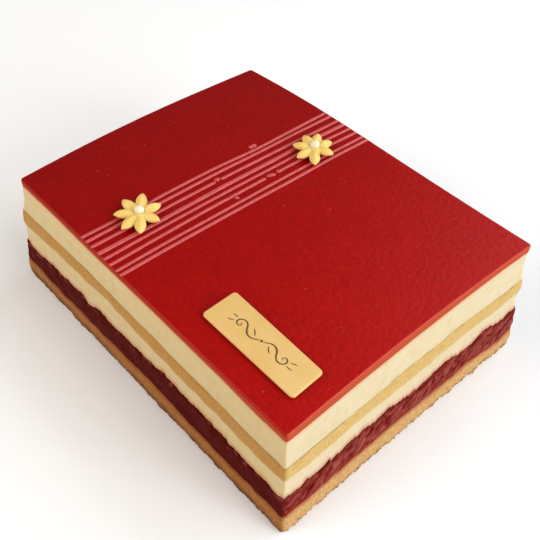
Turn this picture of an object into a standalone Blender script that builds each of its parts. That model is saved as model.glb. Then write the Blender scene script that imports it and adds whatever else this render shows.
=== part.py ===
"""A rectangular layered mousse cake with a red berry glaze, as whole as it leaves the knife.

From the bottom up: a baked sponge base, a berry compote, a cream, a thin sponge, a thick cream
and a glaze with eight piped stripes. On the glaze lie two sugar flowers with a pearl each and a
plain plaque. Lengths in the tables are millimetres. X runs along the long side, Z is up, and the
origin is under the middle of the cake, at the level of its flat base.
"""

import math
from collections import namedtuple

import bmesh
import bpy
from mathutils import Matrix, Vector, noise

MM = 0.001
OBJECT_NAME = "layered_mousse_cake"

# Plan
LENGTH = 150.0
WIDTH = 120.0
CORNER_RADIUS = 1.3
CORNER_STEPS = 4

# Heights of the surfaces between the layers
HEIGHT = 50.0
GLAZE_BOTTOM = 46.7
MIDDLE_SPONGE_TOP = 34.8
MIDDLE_SPONGE_BOTTOM = 27.5
COMPOTE_TOP = 18.3
COMPOTE_BOTTOM = 9.0
LAYER_GAP = 0.3

# Toppings
STRIPE_RELIEF = 0.45
STRIPE_STEP = 8.0
STRIPE_TAPER = 0.8
STRIPE_END_SHARE = 0.6
RIM_CLEARANCE = 0.3
PETAL_WIDTH = 4.3
PETAL_BACK = 1.8
PETAL_BELLY = 0.8
PETAL_ROOT = 0.8
PETAL_POINT = 0.85
PETAL_TILT = math.radians(3)
BUTTON_RADIUS = 3.6
BUTTON_BACK = 2.5
PEARL_DIAMETER = 3.9
PEARL_SINK = 2.3
PLAQUE_PLACE = (119.9, 16.4)
PLAQUE_THICKNESS = 1.3
PLAQUE_CORNER = 1.5
PLAQUE_EDGE = 0.45
TOPPING_GAP = 0.3

# The plaque was cut by hand: the place of each corner from its middle, by which end it is at.
PLAQUE_CORNERS = {
    (-1, -1): (-21.65, -7.35),
    (1, -1): (22.9, -7.4),
    (1, 1): (21.7, 6.9),
    (-1, 1): (-22.45, 7.75),
}

# The knife strayed a little at each corner, anticlockwise from the far left one.
Corner = namedtuple("Corner", "x_sign y_sign stray_x stray_y")
CORNERS = (
    Corner(-1, -1, -1.1, 1.6),
    Corner(1, -1, 0.8, -1.35),
    Corner(1, 1, -0.95, 1.7),
    Corner(-1, 1, -1.7, -0.7),
)

# Each side bows out from its corners, at the top and at the foot, most at a share of its way
# round. The foot of the cake is wider than its top by the flare, and its height bulges.
Side = namedtuple("Side", "bow foot_bow peak flare bulge segments")
SIDES = {
    "front": Side(0.1, 0.1, 0.5, 2.4, 0.0, 40),
    "right": Side(-1.3, -0.5, 0.5, 3.5, 0.0, 32),
    "back": Side(1.8, 1.0, 0.71, -1.5, 0.0, 40),
    "left": Side(2.4, 2.2, 0.52, 2.3, 1.1, 32),
}

# Where a surface between two layers rises or sinks at a side: the way along it from its first
# corner, how far the swell reaches, and its height.
Swell = namedtuple("Swell", "side along reach rise")
GLAZE_SWELLS = (
    Swell("front", 25, 30, 0.3),
    Swell("front", 88, 30, 0.5),
    Swell("front", 140, 14, -0.5),
    Swell("right", 38, 35, -1.2),
    Swell("right", 75, 14, -0.3),
    Swell("left", 60, 30, 0.4),
)
MIDDLE_SPONGE_TOP_SWELLS = (
    Swell("front", 8, 10, -0.4),
    Swell("front", 52, 30, 1.1),
    Swell("right", 8, 10, -0.5),
    Swell("right", 50, 50, -1.3),
    Swell("right", 116, 14, -0.7),
    Swell("back", 60, 25, 0.5),
)
MIDDLE_SPONGE_BOTTOM_SWELLS = (
    Swell("front", 4, 10, -1.0),
    Swell("front", 30, 10, 0.7),
    Swell("front", 58, 22, 2.5),
    Swell("front", 138, 10, -1.1),
    Swell("right", 18, 10, -0.9),
    Swell("right", 48, 35, -1.2),
    Swell("right", 68, 10, -1.1),
    Swell("right", 108, 10, -1.5),
    Swell("left", 70, 22, 0.6),
)
COMPOTE_TOP_SWELLS = (
    Swell("front", 10, 20, -1.5),
    Swell("front", 32, 4, 0.4),
    Swell("front", 46, 4, -2.0),
    Swell("front", 54, 4, 1.3),
    Swell("front", 76, 4, -0.4),
    Swell("front", 92, 4, 0.8),
    Swell("front", 104, 20, 1.7),
    Swell("front", 124, 4, 0.8),
    Swell("front", 136, 4, -0.6),
    Swell("right", 8, 4, -0.7),
    Swell("right", 38, 4, 1.0),
    Swell("right", 50, 6, 2.2),
    Swell("right", 58, 45, -0.6),
    Swell("right", 64, 10, -1.0),
    Swell("right", 81, 5, 2.4),
    Swell("right", 106, 4, 1.7),
    Swell("right", 115, 4, -2.0),
    Swell("back", 30, 9, 1.2),
    Swell("back", 75, 14, -1.0),
    Swell("back", 112, 9, 1.1),
    Swell("left", 28, 9, 1.1),
    Swell("left", 84, 12, -0.9),
)
COMPOTE_BOTTOM_SWELLS = (
    Swell("front", 4, 5, -0.7),
    Swell("front", 24, 9, -1.6),
    Swell("front", 52, 9, -0.9),
    Swell("front", 84, 5, 0.7),
    Swell("front", 97, 16, 0.7),
    Swell("right", 0, 16, 0.4),
    Swell("right", 50, 16, 0.3),
    Swell("right", 78, 18, -0.7),
    Swell("right", 112, 9, -2.2),
    Swell("left", 40, 15, 0.6),
)

# A surface between two layers: its height, its swells, and the depth, grain and seed of its
# waves. Waves with another seed lie elsewhere.
Surface = namedtuple("Surface", "height swells wave grain seed")
FLOOR = Surface(0.0, (), 0.0, 1.0, 0.0)
BASE_TO_COMPOTE = Surface(COMPOTE_BOTTOM, COMPOTE_BOTTOM_SWELLS, 0.5, 11.0, 7.4)
COMPOTE_TO_CREAM = Surface(COMPOTE_TOP, COMPOTE_TOP_SWELLS, 1.5, 7.0, 17.9)
CREAM_TO_SPONGE = Surface(MIDDLE_SPONGE_BOTTOM, MIDDLE_SPONGE_BOTTOM_SWELLS, 0.5, 16.0, 26.5)
SPONGE_TO_CREAM = Surface(MIDDLE_SPONGE_TOP, MIDDLE_SPONGE_TOP_SWELLS, 0.6, 13.0, 33.6)
CREAM_TO_GLAZE = Surface(GLAZE_BOTTOM, GLAZE_SWELLS, 0.3, 25.0, 46.7)

# How a layer's side stands out from the straight cut at its foot, half way up and at its top,
# and the depth and grain of its roughness.
Face = namedtuple("Face", "foot middle head rows rough grain")
BASE_FACE = Face(0.1, 0.7, 0.4, 4, 0.45, 4.5)
COMPOTE_FACE = Face(0.35, 0.35, 0.1, 4, 0.9, 5.5)
LOWER_CREAM_FACE = Face(-0.35, -0.5, -0.3, 2, 0.15, 12.0)
MIDDLE_SPONGE_FACE = Face(0.0, 0.45, 0.1, 2, 0.35, 5.0)
UPPER_CREAM_FACE = Face(0.1, -0.6, -0.5, 2, 0.15, 14.0)

# The glaze's rounded rim, and how far the foot of its side is drawn in.
RIM_RADIUS = 0.6
RIM_STEPS = 3
GLAZE_FOOT_SET_IN = 0.15

# A piped stripe: its distances from the left side at seven stations across the cake, its width,
# and the stretches where it breaks off.
STRIPE_STATIONS = (1.1, 22.0, 42.0, 62.0, 82.0, 102.0, 121.4)
Stripe = namedtuple("Stripe", "places width breaks")
STRIPES = (
    Stripe((41.4, 41.8, 41.6, 41.9, 43.1, 43.3, 43.4), 1.4, ()),
    Stripe((44.4, 44.4, 44.6, 44.7, 45.4, 45.8, 46.4), 1.4, ()),
    Stripe((47.8, 48.0, 48.2, 48.5, 49.1, 49.9, 50.6), 1.4, ((56.9, 59.7),)),
    Stripe((52.1, 52.3, 52.3, 52.4, 52.8, 53.1, 54.0), 1.8, ()),
    Stripe((55.7, 55.5, 55.5, 55.7, 56.1, 56.5, 57.6), 1.3, ()),
    Stripe((59.3, 59.0, 58.8, 59.0, 59.3, 60.0, 61.1), 1.4, ((73.1, 79.2),)),
    Stripe((63.1, 62.9, 63.1, 63.3, 63.5, 64.1, 64.9), 1.3, ()),
    Stripe((65.7, 65.6, 65.8, 66.1, 66.6, 66.7, 67.5), 1.4, ()),
)

# A stray drop of the piping: its place from the left and front sides, length, width and turn.
Drop = namedtuple("Drop", "along across length width turn")
DROPS = (
    Drop(40.8, 81.7, 2.1, 1.7, 70),
    Drop(40.9, 83.2, 2.4, 2.1, 60),
    Drop(47.7, 58.4, 2.4, 1.8, 68),
    Drop(59.1, 76.1, 3.8, 1.8, 73),
    Drop(59.3, 79.9, 2.2, 1.8, 90),
    Drop(60.8, 57.2, 1.7, 1.5, 60),
)
DROP_RELIEF = 0.75

# A sugar flower: its place, and each petal's direction in degrees and reach from the middle.
Petal = namedtuple("Petal", "direction reach")
Flower = namedtuple("Flower", "name along across petals")
FLOWERS = (
    Flower("left", 46.1, 23.0, (Petal(137, 11.2), Petal(183, 10.1), Petal(234, 9.6), Petal(286, 10.6),
                                Petal(326, 11.2), Petal(21, 8.8), Petal(83, 9.2))),
    Flower("right", 59.6, 98.9, (Petal(127, 9.8), Petal(166, 9.2), Petal(216, 9.1), Petal(270, 9.9),
                                 Petal(316, 11.0), Petal(22, 8.3), Petal(80, 8.5))),
)


def stands_out(side, height):
    """How far a side stands out at a height from where it is at the top."""
    return side.flare * (1 - height / HEIGHT) + side.bulge * math.sin(math.pi * height / HEIGHT)


def side_ends(height):
    """The corners that each side of the cut runs between at a height, before they are rounded."""
    points = []
    for x_sign, y_sign, stray_x, stray_y in CORNERS:
        out_x = stands_out(SIDES["right" if x_sign > 0 else "left"], height)
        out_y = stands_out(SIDES["back" if y_sign > 0 else "front"], height)
        x = x_sign * (LENGTH / 2 + out_x) + stray_x
        y = y_sign * (WIDTH / 2 + out_y) + stray_y
        points.append(Vector((x, y)))
    return dict(zip(SIDES, zip(points, points[1:] + points[:1])))


def side_point(name, height, distance):
    """The point on a bowed side at a height and a distance from its first corner."""
    start, end = side_ends(height)[name]
    side = SIDES[name]
    along = end - start
    outward = Vector((along.y, -along.x)).normalized()
    share = distance / along.length
    skew = math.log(0.5) / math.log(side.peak)
    bow = side.bow + (side.foot_bow - side.bow) * (1 - height / HEIGHT)
    return start + along * share + outward * bow * math.sin(math.pi * share**skew)


def plan_ring(height):
    """The outline at a height, anticlockwise, as (point, outward direction) pairs."""
    runs = []
    corners = []
    for name, (start, end) in side_ends(height).items():
        straight = (end - start).length - 2 * CORNER_RADIUS
        count = SIDES[name].segments
        steps = [CORNER_RADIUS + straight * step / count for step in range(count + 1)]
        runs.append([side_point(name, height, distance) for distance in steps])
        corners.append(end)
    ring = []
    for index, run in enumerate(runs):
        before, corner, after = run[-1], corners[index], runs[(index + 1) % 4][0]
        ring += run
        for step in range(1, CORNER_STEPS):
            t = step / CORNER_STEPS
            ring.append(before * (1 - t) ** 2 + corner * 2 * t * (1 - t) + after * t**2)
    pairs = []
    for index, point in enumerate(ring):
        along = ring[(index + 1) % len(ring)] - ring[index - 1]
        pairs.append((point, Vector((along.y, -along.x)).normalized()))
    return pairs


RING_POINTS = len(plan_ring(0))


def waves(x, y, z, grain, seed):
    """Smooth unevenness from -1 to 1, with lumps about one grain across."""
    return noise.noise(Vector((x / grain + seed, y / grain - seed, z / grain)))


def surface_height(surface, point):
    """The height of a surface between two layers over a point of the plan."""
    if not surface.height:
        return 0.0
    height = surface.height + surface.wave * waves(point.x, point.y, 0, surface.grain, surface.seed)
    for swell in surface.swells:
        centre = side_point(swell.side, surface.height, swell.along)
        height += swell.rise * math.exp(-(((point - centre).length / swell.reach) ** 2))
    return height


def surface_ring(surface):
    """The surface's height at each point of the outline, the same for the layer below and above."""
    return [surface_height(surface, point) for point, _ in plan_ring(surface.height)]


def material(name, colour, roughness):
    """A plain finish; colour is linear RGB."""
    finish = bpy.data.materials.new(name)
    finish.use_nodes = True
    shader = finish.node_tree.nodes["Principled BSDF"]
    shader.inputs["Base Color"].default_value = (*colour, 1.0)
    shader.inputs["Roughness"].default_value = roughness
    shader.inputs["Metallic"].default_value = 0.0
    finish.diffuse_color = (*colour, 1.0)
    return finish


def finished(name, bm, finish, collection, sharp=35):
    """A node from a bmesh in millimetres, shaded smooth but for its edges."""
    bmesh.ops.scale(bm, vec=(MM, MM, MM), verts=bm.verts)
    mesh = bpy.data.meshes.new(name)
    bm.to_mesh(mesh)
    bm.free()
    keep_one_finish(mesh, finish, sharp)
    node = bpy.data.objects.new(name, mesh)
    collection.objects.link(node)
    return node


def slab(rings):
    """A closed bmesh whose side runs through the rings of points, bottom to top, with flat caps.

    The side starts as a grid, unrolled, and each of its points is moved to its ring.
    """
    bm = bmesh.new()
    bands = len(rings) - 1
    bmesh.ops.create_grid(bm, x_segments=RING_POINTS, y_segments=bands, size=1)
    for vertex in bm.verts:
        step = round((vertex.co.x + 1) / 2 * RING_POINTS) % RING_POINTS
        band = round((vertex.co.y + 1) / 2 * bands)
        vertex.co = rings[band][step]
    bmesh.ops.remove_doubles(bm, verts=bm.verts, dist=0.0001)
    bmesh.ops.holes_fill(bm, edges=bm.edges, sides=0)
    return bm


def centre_cap(bm, surface, lift):
    """Turns a cap into a shallow tent whose middle is at its surface's own height."""
    height = surface.height + lift
    caps = [face for face in bm.faces if len(face.verts) == RING_POINTS]
    cap = min(caps, key=lambda face: abs(face.calc_center_median().z - height))
    peak = bmesh.ops.poke(bm, faces=[cap])["verts"][0]
    peak.co = Vector((0, 0, height))


def layer_side(bottom, top, face, seed):
    """The rings of a layer's side between two surfaces, with half the gap left at each."""
    lowest = surface_ring(bottom)
    highest = surface_ring(top)
    rings = []
    for row in range(face.rows + 1):
        share = row / face.rows
        nearest = face.foot if share < 0.5 else face.head
        stand_out = face.middle + (nearest - face.middle) * abs(2 * share - 1) ** 2
        middle_height = bottom.height + (top.height - bottom.height) * share
        ring = []
        for index, (point, outward) in enumerate(plan_ring(middle_height)):
            low = lowest[index] + (LAYER_GAP / 2 if bottom.height else 0)
            high = highest[index] - LAYER_GAP / 2
            z = low + (high - low) * share
            rough = face.rough * waves(point.x, point.y, z, face.grain, seed)
            place = point + outward * (stand_out + rough)
            ring.append(Vector((place.x, place.y, z)))
        rings.append(ring)
    return rings


def add_layer(name, bottom, top, face, finish, collection, seed):
    bm = slab(layer_side(bottom, top, face, seed))
    centre_cap(bm, top, -LAYER_GAP / 2)
    if bottom.height:
        centre_cap(bm, bottom, LAYER_GAP / 2)
    bmesh.ops.recalc_face_normals(bm, faces=bm.faces)
    return finished(name, bm, finish, collection)


def on_glaze(along, across):
    """The plan point of a place on the glaze, from the nominal left and front sides."""
    return Vector((along - LENGTH / 2, across - WIDTH / 2))


def glaze_side():
    """The rings of the glaze: a foot drawn in, a straight side and a rounded rim."""
    lowest = surface_ring(CREAM_TO_GLAZE)
    outline = plan_ring(HEIGHT)
    shoulder = HEIGHT - RIM_RADIUS
    levels = [(shoulder, 0.0)]
    for step in range(1, RIM_STEPS + 1):
        angle = math.pi / 2 * step / RIM_STEPS
        rise = RIM_RADIUS * math.sin(angle)
        set_in = RIM_RADIUS * (1 - math.cos(angle))
        levels.append((shoulder + rise, set_in))
    foot = []
    for low, (point, outward) in zip(lowest, outline):
        place = point - outward * GLAZE_FOOT_SET_IN
        foot.append(Vector((place.x, place.y, low + LAYER_GAP / 2)))
    rings = [foot]
    for z, set_in in levels:
        rings.append([Vector((*(point - outward * set_in), z)) for point, outward in outline])
    return rings


def rim_ends(front_along, back_along):
    """Where a line across the glaze meets its front and back rims, from the nominal front side."""
    front = side_point("front", HEIGHT, front_along)
    back = side_point("back", HEIGHT, LENGTH - back_along)
    return front.y + WIDTH / 2, back.y + WIDTH / 2


def stripe_place(stripe, across):
    """The stripe's middle line at a distance from the front side, smooth through its places."""
    places = stripe.places
    stations = STRIPE_STATIONS
    span = sum(across > station for station in stations[1:-1])
    start, end = places[span], places[span + 1]
    t = (across - stations[span]) / (stations[span + 1] - stations[span])
    start_slope = (end - places[max(span - 1, 0)]) / 2
    end_slope = (places[min(span + 2, len(places) - 1)] - start) / 2
    ease = 3 * t**2 - 2 * t**3
    along = start + (end - start) * ease
    along += start_slope * (t - 2 * t**2 + t**3) + end_slope * (t**3 - t**2)
    return on_glaze(along, across)


def stripe_runs(stripe):
    """The stripe's unbroken runs, each from one distance from the front side to another."""
    front, back = rim_ends(stripe.places[0], stripe.places[-1])
    ends = [front + RIM_CLEARANCE]
    for gap in stripe.breaks:
        ends += gap
    ends.append(back - RIM_CLEARANCE)
    return list(zip(ends[::2], ends[1::2]))


def mesh_of_curve(curve_object):
    """The curve's own mesh with its caps welded on, in a new object; the curve is removed."""
    graph = bpy.context.evaluated_depsgraph_get()
    mesh = bpy.data.meshes.new_from_object(curve_object.evaluated_get(graph))
    bm = bmesh.new()
    bm.from_mesh(mesh)
    bmesh.ops.remove_doubles(bm, verts=bm.verts, dist=0.01 * MM)
    bmesh.ops.recalc_face_normals(bm, faces=bm.faces)
    bm.to_mesh(mesh)
    bm.free()
    solid = bpy.data.objects.new(curve_object.name + "_solid", mesh)
    solid.matrix_world = curve_object.matrix_world
    bpy.data.objects.remove(curve_object)
    return solid


def piped_run(name, stripe, start, end, collection):
    """A round thread of piping, sunk so that only its back stands out of the glaze.

    It thins at both ends, where it was started and drawn off.
    """
    half_width = stripe.width / 2
    radius = (half_width**2 + STRIPE_RELIEF**2) / (2 * STRIPE_RELIEF)
    curve = bpy.data.curves.new(name, "CURVE")
    curve.dimensions = "3D"
    curve.bevel_depth = radius * MM
    curve.bevel_resolution = 2
    curve.use_fill_caps = True
    full_length = end - start - 2 * STRIPE_TAPER
    count = round(full_length / STRIPE_STEP)
    full = [start + STRIPE_TAPER + full_length * step / count for step in range(count + 1)]
    stops = [start, *full, end]
    spline = curve.splines.new("POLY")
    spline.points.add(len(stops) - 1)
    axis_height = HEIGHT + STRIPE_RELIEF - radius
    for across, point in zip(stops, spline.points):
        place = stripe_place(stripe, across)
        point.co = (place.x * MM, place.y * MM, axis_height * MM, 1)
        point.radius = STRIPE_END_SHARE if across in (start, end) else 1
    thread = bpy.data.objects.new(name, curve)
    collection.objects.link(thread)
    collection.objects.link(mesh_of_curve(thread))


def piped_drop(name, drop, collection):
    """A flattened bead of piping that fell beside the stripes."""
    bm = bmesh.new()
    bmesh.ops.create_uvsphere(bm, u_segments=10, v_segments=6, radius=0.5)
    bmesh.ops.scale(bm, vec=(drop.length, drop.width, 2 * DROP_RELIEF), verts=bm.verts)
    turn = Matrix.Rotation(math.radians(drop.turn), 4, "Z")
    place = on_glaze(drop.along, drop.across)
    bm.transform(Matrix.Translation((place.x, place.y, HEIGHT)) @ turn)
    bmesh.ops.scale(bm, vec=(MM, MM, MM), verts=bm.verts)
    mesh = bpy.data.meshes.new(name)
    bm.to_mesh(mesh)
    bm.free()
    collection.objects.link(bpy.data.objects.new(name, mesh))


def keep_one_finish(mesh, finish, sharp=35):
    """Gives the whole mesh one finish, shaded smooth but for its edges."""
    mesh.materials.clear()
    mesh.materials.append(finish)
    mesh.shade_smooth()
    mesh.set_sharp_from_angle(angle=math.radians(sharp))


def join_collection(node, collection, operation="UNION"):
    """Joins all that a collection holds to the node, or cuts it away, and clears it up."""
    boolean = node.modifiers.new(collection.name, "BOOLEAN")
    boolean.operation = operation
    boolean.operand_type = "COLLECTION"
    boolean.collection = collection
    boolean.solver = "EXACT"
    graph = bpy.context.evaluated_depsgraph_get()
    joined = bpy.data.meshes.new_from_object(node.evaluated_get(graph))
    node.modifiers.clear()
    node.data = joined
    for extra in list(collection.objects):
        bpy.data.objects.remove(extra)
    bpy.data.collections.remove(collection)


def add_glaze(finish, collection):
    bm = slab(glaze_side())
    centre_cap(bm, CREAM_TO_GLAZE, LAYER_GAP / 2)
    bmesh.ops.recalc_face_normals(bm, faces=bm.faces)
    glaze = finished("glaze", bm, finish, collection)
    piping = bpy.data.collections.new("piping")
    bpy.context.scene.collection.children.link(piping)
    for number, stripe in enumerate(STRIPES, 1):
        for start, end in stripe_runs(stripe):
            piped_run(f"stripe_{number}", stripe, start, end, piping)
    for number, drop in enumerate(DROPS, 1):
        piped_drop(f"drop_{number}", drop, piping)
    join_collection(glaze, piping)
    keep_one_finish(glaze.data, finish)


def petal(direction, reach):
    """A plump petal that points along a direction, flat below and drawn to a tip at its far end."""
    bm = bmesh.new()
    bmesh.ops.create_uvsphere(bm, u_segments=8, v_segments=8, radius=1)
    bmesh.ops.rotate(bm, matrix=Matrix.Rotation(math.pi / 2, 3, "Y"), verts=bm.verts)
    for vertex in bm.verts:
        x, y, z = vertex.co
        way = (x + 1) / 2
        point = math.hypot(y, z) ** (PETAL_POINT * way)
        vertex.co.x = PETAL_ROOT + way * (reach - PETAL_ROOT)
        vertex.co.y = y * point * PETAL_WIDTH / 2
        vertex.co.z = z * point * (PETAL_BACK if z > 0 else PETAL_BELLY)
    tilt = Matrix.Rotation(-PETAL_TILT, 4, "Y")
    turn = Matrix.Rotation(math.radians(direction), 4, "Z")
    bm.transform(Matrix.Scale(MM, 4) @ turn @ tilt)
    mesh = bpy.data.meshes.new("petal")
    bm.to_mesh(mesh)
    bm.free()
    return bpy.data.objects.new("petal", mesh)


def ball(name, radius, centre):
    """A sphere as a loose object."""
    bm = bmesh.new()
    bmesh.ops.create_uvsphere(bm, u_segments=16, v_segments=10, radius=radius * MM)
    bmesh.ops.translate(bm, vec=Vector(centre) * MM, verts=bm.verts)
    mesh = bpy.data.meshes.new(name)
    bm.to_mesh(mesh)
    bm.free()
    return bpy.data.objects.new(name, mesh)


def add_flower(flower, finish, pearl_finish, collection):
    """Seven petals fused round a low button, with a pearl in a dimple on top of it."""
    place = on_glaze(flower.along, flower.across)
    middle = HEIGHT + STRIPE_RELIEF + TOPPING_GAP + PETAL_BELLY
    bm = bmesh.new()
    bmesh.ops.create_uvsphere(bm, u_segments=14, v_segments=8, radius=1)
    for vertex in bm.verts:
        vertex.co.x *= BUTTON_RADIUS
        vertex.co.y *= BUTTON_RADIUS
        vertex.co.z *= BUTTON_BACK if vertex.co.z > 0 else PETAL_BELLY
    button = finished("flower_" + flower.name, bm, finish, collection)
    petals = bpy.data.collections.new("petals")
    bpy.context.scene.collection.children.link(petals)
    for direction, reach in flower.petals:
        petals.objects.link(petal(direction, reach))
    join_collection(button, petals)

    pearl_centre = BUTTON_BACK - PEARL_SINK + PEARL_DIAMETER / 2
    dimple = bpy.data.collections.new("dimple")
    bpy.context.scene.collection.children.link(dimple)
    dimple.objects.link(ball("dimple", PEARL_DIAMETER / 2 + TOPPING_GAP, (0, 0, pearl_centre)))
    join_collection(button, dimple, "DIFFERENCE")
    button.data.transform(Matrix.Translation(Vector((place.x, place.y, middle)) * MM))
    keep_one_finish(button.data, finish, sharp=50)

    pearl = ball("pearl_" + flower.name, PEARL_DIAMETER / 2, (place.x, place.y, middle + pearl_centre))
    keep_one_finish(pearl.data, pearl_finish, sharp=60)
    collection.objects.link(pearl)


def add_plaque(finish, collection):
    """A thin slab with rounded corners and softened edges, lying flat on the glaze."""
    place = on_glaze(*PLAQUE_PLACE)
    front_left, front_right = side_ends(HEIGHT)["front"]
    along = front_right - front_left
    bm = bmesh.new()
    bmesh.ops.create_cube(bm, size=2)
    for vertex in bm.verts:
        x, y = PLAQUE_CORNERS[round(vertex.co.x), round(vertex.co.y)]
        vertex.co = Vector((x, y, vertex.co.z * PLAQUE_THICKNESS / 2))
    upright = [edge for edge in bm.edges if edge.verts[0].co.xy == edge.verts[1].co.xy]
    bmesh.ops.bevel(
        bm, geom=upright, offset=PLAQUE_CORNER, segments=4, profile=0.5, affect="EDGES", material=-1
    )
    level = [edge for edge in bm.edges if edge.verts[0].co.z == edge.verts[1].co.z]
    rims = [edge for edge in level if any(abs(face.normal.z) < 0.5 for face in edge.link_faces)]
    bmesh.ops.bevel(
        bm, geom=rims, offset=PLAQUE_EDGE, segments=2, profile=0.5, affect="EDGES", material=-1
    )
    rest = HEIGHT + TOPPING_GAP + PLAQUE_THICKNESS / 2
    turn = Matrix.Rotation(math.atan2(along.y, along.x), 4, "Z")
    bm.transform(Matrix.Translation((place.x, place.y, rest)) @ turn)
    finished("plaque", bm, finish, collection)


def centre_over_origin(collection):
    """Moves every node alike, so that the origin is under the middle of their common box."""
    points = [vertex.co for node in collection.objects for vertex in node.data.vertices]
    middle_x = (min(point.x for point in points) + max(point.x for point in points)) / 2
    middle_y = (min(point.y for point in points) + max(point.y for point in points)) / 2
    for node in collection.objects:
        node.data.transform(Matrix.Translation((-middle_x, -middle_y, 0)))


def build():
    for old in list(bpy.data.objects):
        bpy.data.objects.remove(old, do_unlink=True)
    cake = bpy.data.collections.new(OBJECT_NAME)
    bpy.context.scene.collection.children.link(cake)

    baked = material("baked_sponge", (0.62, 0.33, 0.11), 0.85)
    compote = material("berry_compote", (0.16, 0.012, 0.012), 0.25)
    lower_cream = material("lower_cream", (0.85, 0.72, 0.48), 0.55)
    sponge = material("yellow_sponge", (0.72, 0.43, 0.13), 0.85)
    upper_cream = material("upper_cream", (0.87, 0.74, 0.48), 0.55)
    glaze = material("berry_glaze", (0.35, 0.008, 0.008), 0.3)
    sugar = material("sugar_paste", (0.90, 0.63, 0.20), 0.5)
    pearl = material("sugar_pearl", (0.92, 0.88, 0.72), 0.3)
    plaque = material("white_chocolate", (0.85, 0.62, 0.27), 0.4)

    add_layer("base_sponge", FLOOR, BASE_TO_COMPOTE, BASE_FACE, baked, cake, seed=3.7)
    add_layer("berry_compote", BASE_TO_COMPOTE, COMPOTE_TO_CREAM, COMPOTE_FACE, compote, cake, seed=8.1)
    add_layer("cream_lower", COMPOTE_TO_CREAM, CREAM_TO_SPONGE, LOWER_CREAM_FACE, lower_cream, cake, seed=1.9)
    add_layer("sponge_middle", CREAM_TO_SPONGE, SPONGE_TO_CREAM, MIDDLE_SPONGE_FACE, sponge, cake, seed=5.3)
    add_layer("cream_upper", SPONGE_TO_CREAM, CREAM_TO_GLAZE, UPPER_CREAM_FACE, upper_cream, cake, seed=2.6)
    add_glaze(glaze, cake)
    for flower in FLOWERS:
        add_flower(flower, sugar, pearl, cake)
    add_plaque(plaque, cake)
    centre_over_origin(cake)


build()
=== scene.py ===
"""The looks of a layered mousse cake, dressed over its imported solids.

The layers' cut sides, the glaze with its piping, the sugar flowers and the plaque are made here
from the same lengths as the solids, with the finer relief that the eye sees. Lengths in the
tables are millimetres, from the cake's nominal middle. X runs along the long side and Z is up.
"""

import math
import random
from collections import namedtuple

import bmesh
import bpy
from mathutils import Matrix, Vector, noise


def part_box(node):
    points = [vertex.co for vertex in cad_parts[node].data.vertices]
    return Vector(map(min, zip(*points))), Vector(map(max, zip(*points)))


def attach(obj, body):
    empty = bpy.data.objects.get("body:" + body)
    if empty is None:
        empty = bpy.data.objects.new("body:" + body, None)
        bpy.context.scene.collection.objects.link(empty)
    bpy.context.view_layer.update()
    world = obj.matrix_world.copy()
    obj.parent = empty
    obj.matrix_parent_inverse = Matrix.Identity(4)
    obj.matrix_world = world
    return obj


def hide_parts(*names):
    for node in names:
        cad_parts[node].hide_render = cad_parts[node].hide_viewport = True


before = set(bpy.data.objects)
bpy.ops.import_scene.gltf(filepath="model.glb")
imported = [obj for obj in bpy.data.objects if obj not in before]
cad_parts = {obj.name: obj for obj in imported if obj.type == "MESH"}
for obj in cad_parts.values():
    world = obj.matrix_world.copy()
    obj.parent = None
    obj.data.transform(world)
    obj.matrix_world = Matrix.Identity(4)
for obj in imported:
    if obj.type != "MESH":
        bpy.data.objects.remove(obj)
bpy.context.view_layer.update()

MM = 0.001

# ---------------------------------------------------------------- the cake's lengths

LENGTH = 150.0
WIDTH = 120.0
HEIGHT = 50.0
CORNER_RADIUS = 1.3
CORNER_STEPS = 6
COLUMN_STEP = 0.32
SEEN_GAP = 0.03

Corner = namedtuple("Corner", "x_sign y_sign stray_x stray_y")
CORNERS = (
    Corner(-1, -1, -1.1, 1.6),
    Corner(1, -1, 0.8, -1.35),
    Corner(1, 1, -0.95, 1.7),
    Corner(-1, 1, -1.7, -0.7),
)

Side = namedtuple("Side", "bow foot_bow peak flare bulge columns")
SIDES = {
    "front": Side(0.1, 0.1, 0.5, 2.4, 0.0, round(LENGTH / COLUMN_STEP)),
    "right": Side(-1.3, -0.5, 0.5, 3.5, 0.0, round(WIDTH / COLUMN_STEP)),
    "back": Side(1.8, 1.0, 0.71, -1.5, 0.0, round(LENGTH / COLUMN_STEP)),
    "left": Side(2.4, 2.2, 0.52, 2.3, 1.1, round(WIDTH / COLUMN_STEP)),
}

Swell = namedtuple("Swell", "side along reach rise")


def swells(**sides):
    """The swells of a surface, from rows of (along, reach, rise) under each side's name."""
    return tuple(Swell(side, *row) for side, rows in sides.items() for row in rows)


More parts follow.
